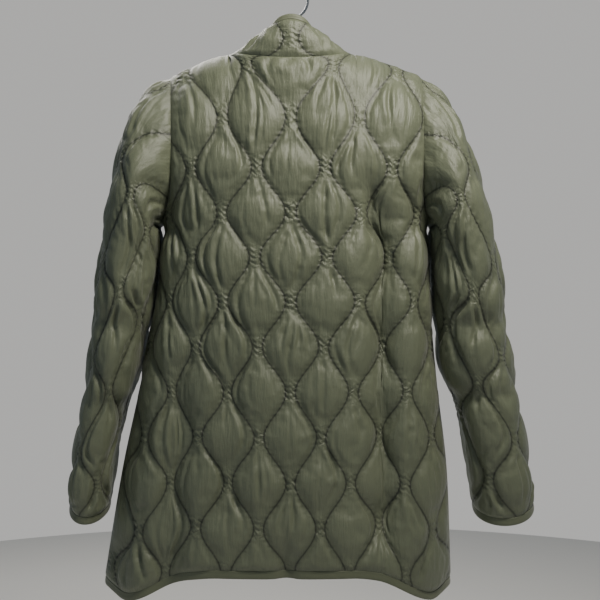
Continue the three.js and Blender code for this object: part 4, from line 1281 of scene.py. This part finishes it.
def thread():
    finish = Finish("Sewing_thread", Roughness=0.6)
    base = finish.blend(finish.noise(300.0, 2.0), THREAD, colour(74, 78, 61))
    twist = finish.noise(1800.0, 2.0)
    return finish.feed(Base_Color=base, Normal=finish.bump(twist, 0.0002, 0.6))


def stud_lacquer():
    finish = Finish("Stud_lacquer")
    worn = finish.noise(420.0, 4.0, 0.6)
    base = finish.blend(worn, colour(70, 73, 58), colour(84, 86, 68))
    bumped = finish.bump(finish.noise(900.0, 2.0), 0.00006, 0.5)
    return finish.feed(Base_Color=base, Roughness=0.28 + worn * 0.16, Normal=bumped)


def polished_steel():
    finish = Finish("Polished_steel", Metallic=1.0)
    drawn = finish.noise(260.0, 4.0, 0.65)
    base = finish.blend(drawn, colour(176, 178, 181), colour(214, 215, 216))
    bumped = finish.bump(drawn, 0.00005, 0.4)
    return finish.feed(Base_Color=base, Roughness=0.14 + drawn * 0.14, Normal=bumped)


def moulded_plastic():
    finish = Finish("Moulded_plastic")
    grain = finish.noise(1400.0, 3.0, 0.6)
    base = finish.blend(finish.noise(30.0), colour(34, 34, 36), colour(48, 48, 50))
    bumped = finish.bump(grain, 0.00012, 0.5)
    return finish.feed(Base_Color=base, Roughness=0.42 + grain * 0.16, Normal=bumped)


def pale_floor():
    finish = Finish("Pale_floor", Roughness=0.85)
    drift = finish.noise(1.3, 3.0)
    return finish.feed(Base_Color=finish.blend(drift, colour(222, 220, 216), colour(230, 228, 224)))


def lay_cloth_uv(mesh, across, height):
    """A UV map in metres of the flat cut, for the weave and the painted shade along the quilting to follow.
    """
    layer = mesh.uv_layers.new(name="cloth")
    corner = numbers(mesh.loops, "vertex_index").astype(int)
    flat = np.stack([across[corner], height[corner]], axis=1) * MM
    layer.data.foreach_set("uv", np.ascontiguousarray(flat, float).ravel())


# Assembly


def dress(piece, material, slot, *nodes):
    """Gives a piece its finish and its place, and hides the CAD node that it replaces."""
    piece.data.materials.append(material)
    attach(piece, "root")
    if nodes:
        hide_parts(*nodes)


def cloth_area(panel):
    """The flat cut's area in square metres, from a fine grid over the panel."""
    s, v = np.meshgrid(np.linspace(0, 1, 240), np.linspace(0, 1, 240))
    across, height = panel.flat(*panel.place(s.ravel(), v.ravel()))
    x, y = across.reshape(s.shape), height.reshape(s.shape)
    ahead_x, ahead_y = np.diff(x, axis=1)[:-1], np.diff(y, axis=1)[:-1]
    up_x, up_y = np.diff(x, axis=0)[:, :-1], np.diff(y, axis=0)[:, :-1]
    area = np.abs(ahead_x * up_y - ahead_y * up_x).sum()
    return area * MM * MM, (float(np.ptp(across)) * MM, float(np.ptp(height)) * MM)


def sew_panel(panel, cloth, lining, sewing, shape):
    """A padded piece of the jacket: outer skin, plain inside and the quilting's stitches."""
    skin = padded_skin(panel)
    mesh = skin.data
    lay_cloth_uv(mesh, read(mesh, "across"), read(mesh, "height"))
    dress(skin, cloth, "quilted_shell", panel.name)
    inside = inner_face(panel)
    dress(inside, lining, "quilted_shell")
    stitches = quilting_stitches(panel, skin, shape)
    dress(stitches, sewing, "quilted_shell")
    area, flat = cloth_area(panel)
    for name in SKIN_FIELDS:
        mesh.attributes.remove(mesh.attributes[name])


def sew_jacket():
    cloth, lining, sewing, edging = nylon("Quilted_nylon"), plain_lining(), thread(), tape()
    shape = stitch_shape()
    panels = [
        back_panel(), front_panel(1), front_panel(-1), sleeve_panel(1), sleeve_panel(-1), collar_panel(),
    ]
    for panel in panels:
        sew_panel(panel, cloth, lining, sewing, shape)
    for strip, node in (
        (hem_binding(), "hem_binding"),
        (cuff_binding(1), "left_cuff_binding"),
        (cuff_binding(-1), "right_cuff_binding"),
        (collar_binding(), "collar_binding"),
        (front_band(1), "left_front_band"),
        (front_band(-1), "right_front_band"),
    ):
        dress(strip, edging, "binding", node)
    lacquer = stud_lacquer()
    for number in range(STUD_COUNT):
        dress(press_stud(number), lacquer, "press_stud", f"press_stud_{number + 1}")


def hang_jacket():
    dress(hanger_hook(), polished_steel(), "hook_wire", "hanger_hook")
    dress(hanger_arms(), moulded_plastic(), "hanger_plastic", "hanger_arms")


# Studio

CAMERA_PLACE = (-0.0126, 1.44, -0.458)
LENS = 60
FLOOR_Z = -1.3
FLOOR_RADIUS = 2.3
JACKET_MIDDLE = Vector((-0.013, 0, -0.42))
FAINT_SKY = ((0.74, 0.87, 1.0, 1), 0.16)  # a colour and its strength
PALE_BACKDROP = ((0.56, 0.555, 0.54, 1), 0.9)


def area_light(name, place, size, energy, tint):
    data = bpy.data.lights.new(name, "AREA")
    data.shape = "DISK"
    data.size = size
    data.energy = energy
    data.color = tint
    light = add_object(name, data)
    light.location = place
    light.rotation_euler = (JACKET_MIDDLE - Vector(place)).to_track_quat("-Z", "Y").to_euler()


def pale_room():
    """A pale backdrop that lights the jacket only faintly, so that its folds keep their shade."""
    world = bpy.data.worlds.new("Studio")
    world.use_nodes = True
    nodes, links = world.node_tree.nodes, world.node_tree.links
    dim, pale = nodes["Background"], nodes.new("ShaderNodeBackground")
    for glow, (tint, strength) in ((dim, FAINT_SKY), (pale, PALE_BACKDROP)):
        glow.inputs["Color"].default_value = tint
        glow.inputs["Strength"].default_value = strength
    seen = nodes.new("ShaderNodeLightPath")
    both = nodes.new("ShaderNodeMixShader")
    links.new(seen.outputs["Is Camera Ray"], both.inputs[0])
    links.new(dim.outputs[0], both.inputs[1])
    links.new(pale.outputs[0], both.inputs[2])
    links.new(both.outputs[0], nodes["World Output"].inputs["Surface"])
    return world


def studio():
    scene = bpy.context.scene
    data = bpy.data.cameras.new("Camera")
    data.lens = LENS
    data.sensor_width = 36
    camera = add_object("Camera", data)
    camera.location = CAMERA_PLACE
    camera.rotation_euler = (math.pi / 2, 0, math.pi)
    scene.camera = camera

    bm = bmesh.new()
    bmesh.ops.create_circle(bm, cap_ends=True, radius=FLOOR_RADIUS, segments=160)
    bmesh.ops.translate(bm, verts=bm.verts, vec=(0, 0, FLOOR_Z))
    floor = new_object("floor", bm)
    floor.data.materials.append(pale_floor())

    scene.world = pale_room()
    area_light("key", (-0.45, 0.66, 0.62), 0.36, 22, (1.0, 0.95, 0.85))
    area_light("fill", (1.5, 1.6, -0.2), 1.4, 2.4, (0.8, 0.9, 1.0))
    area_light("front", (0.7, -1.3, 1.0), 1.3, 30, (1.0, 0.96, 0.9))


sew_jacket()
hang_jacket()
studio()
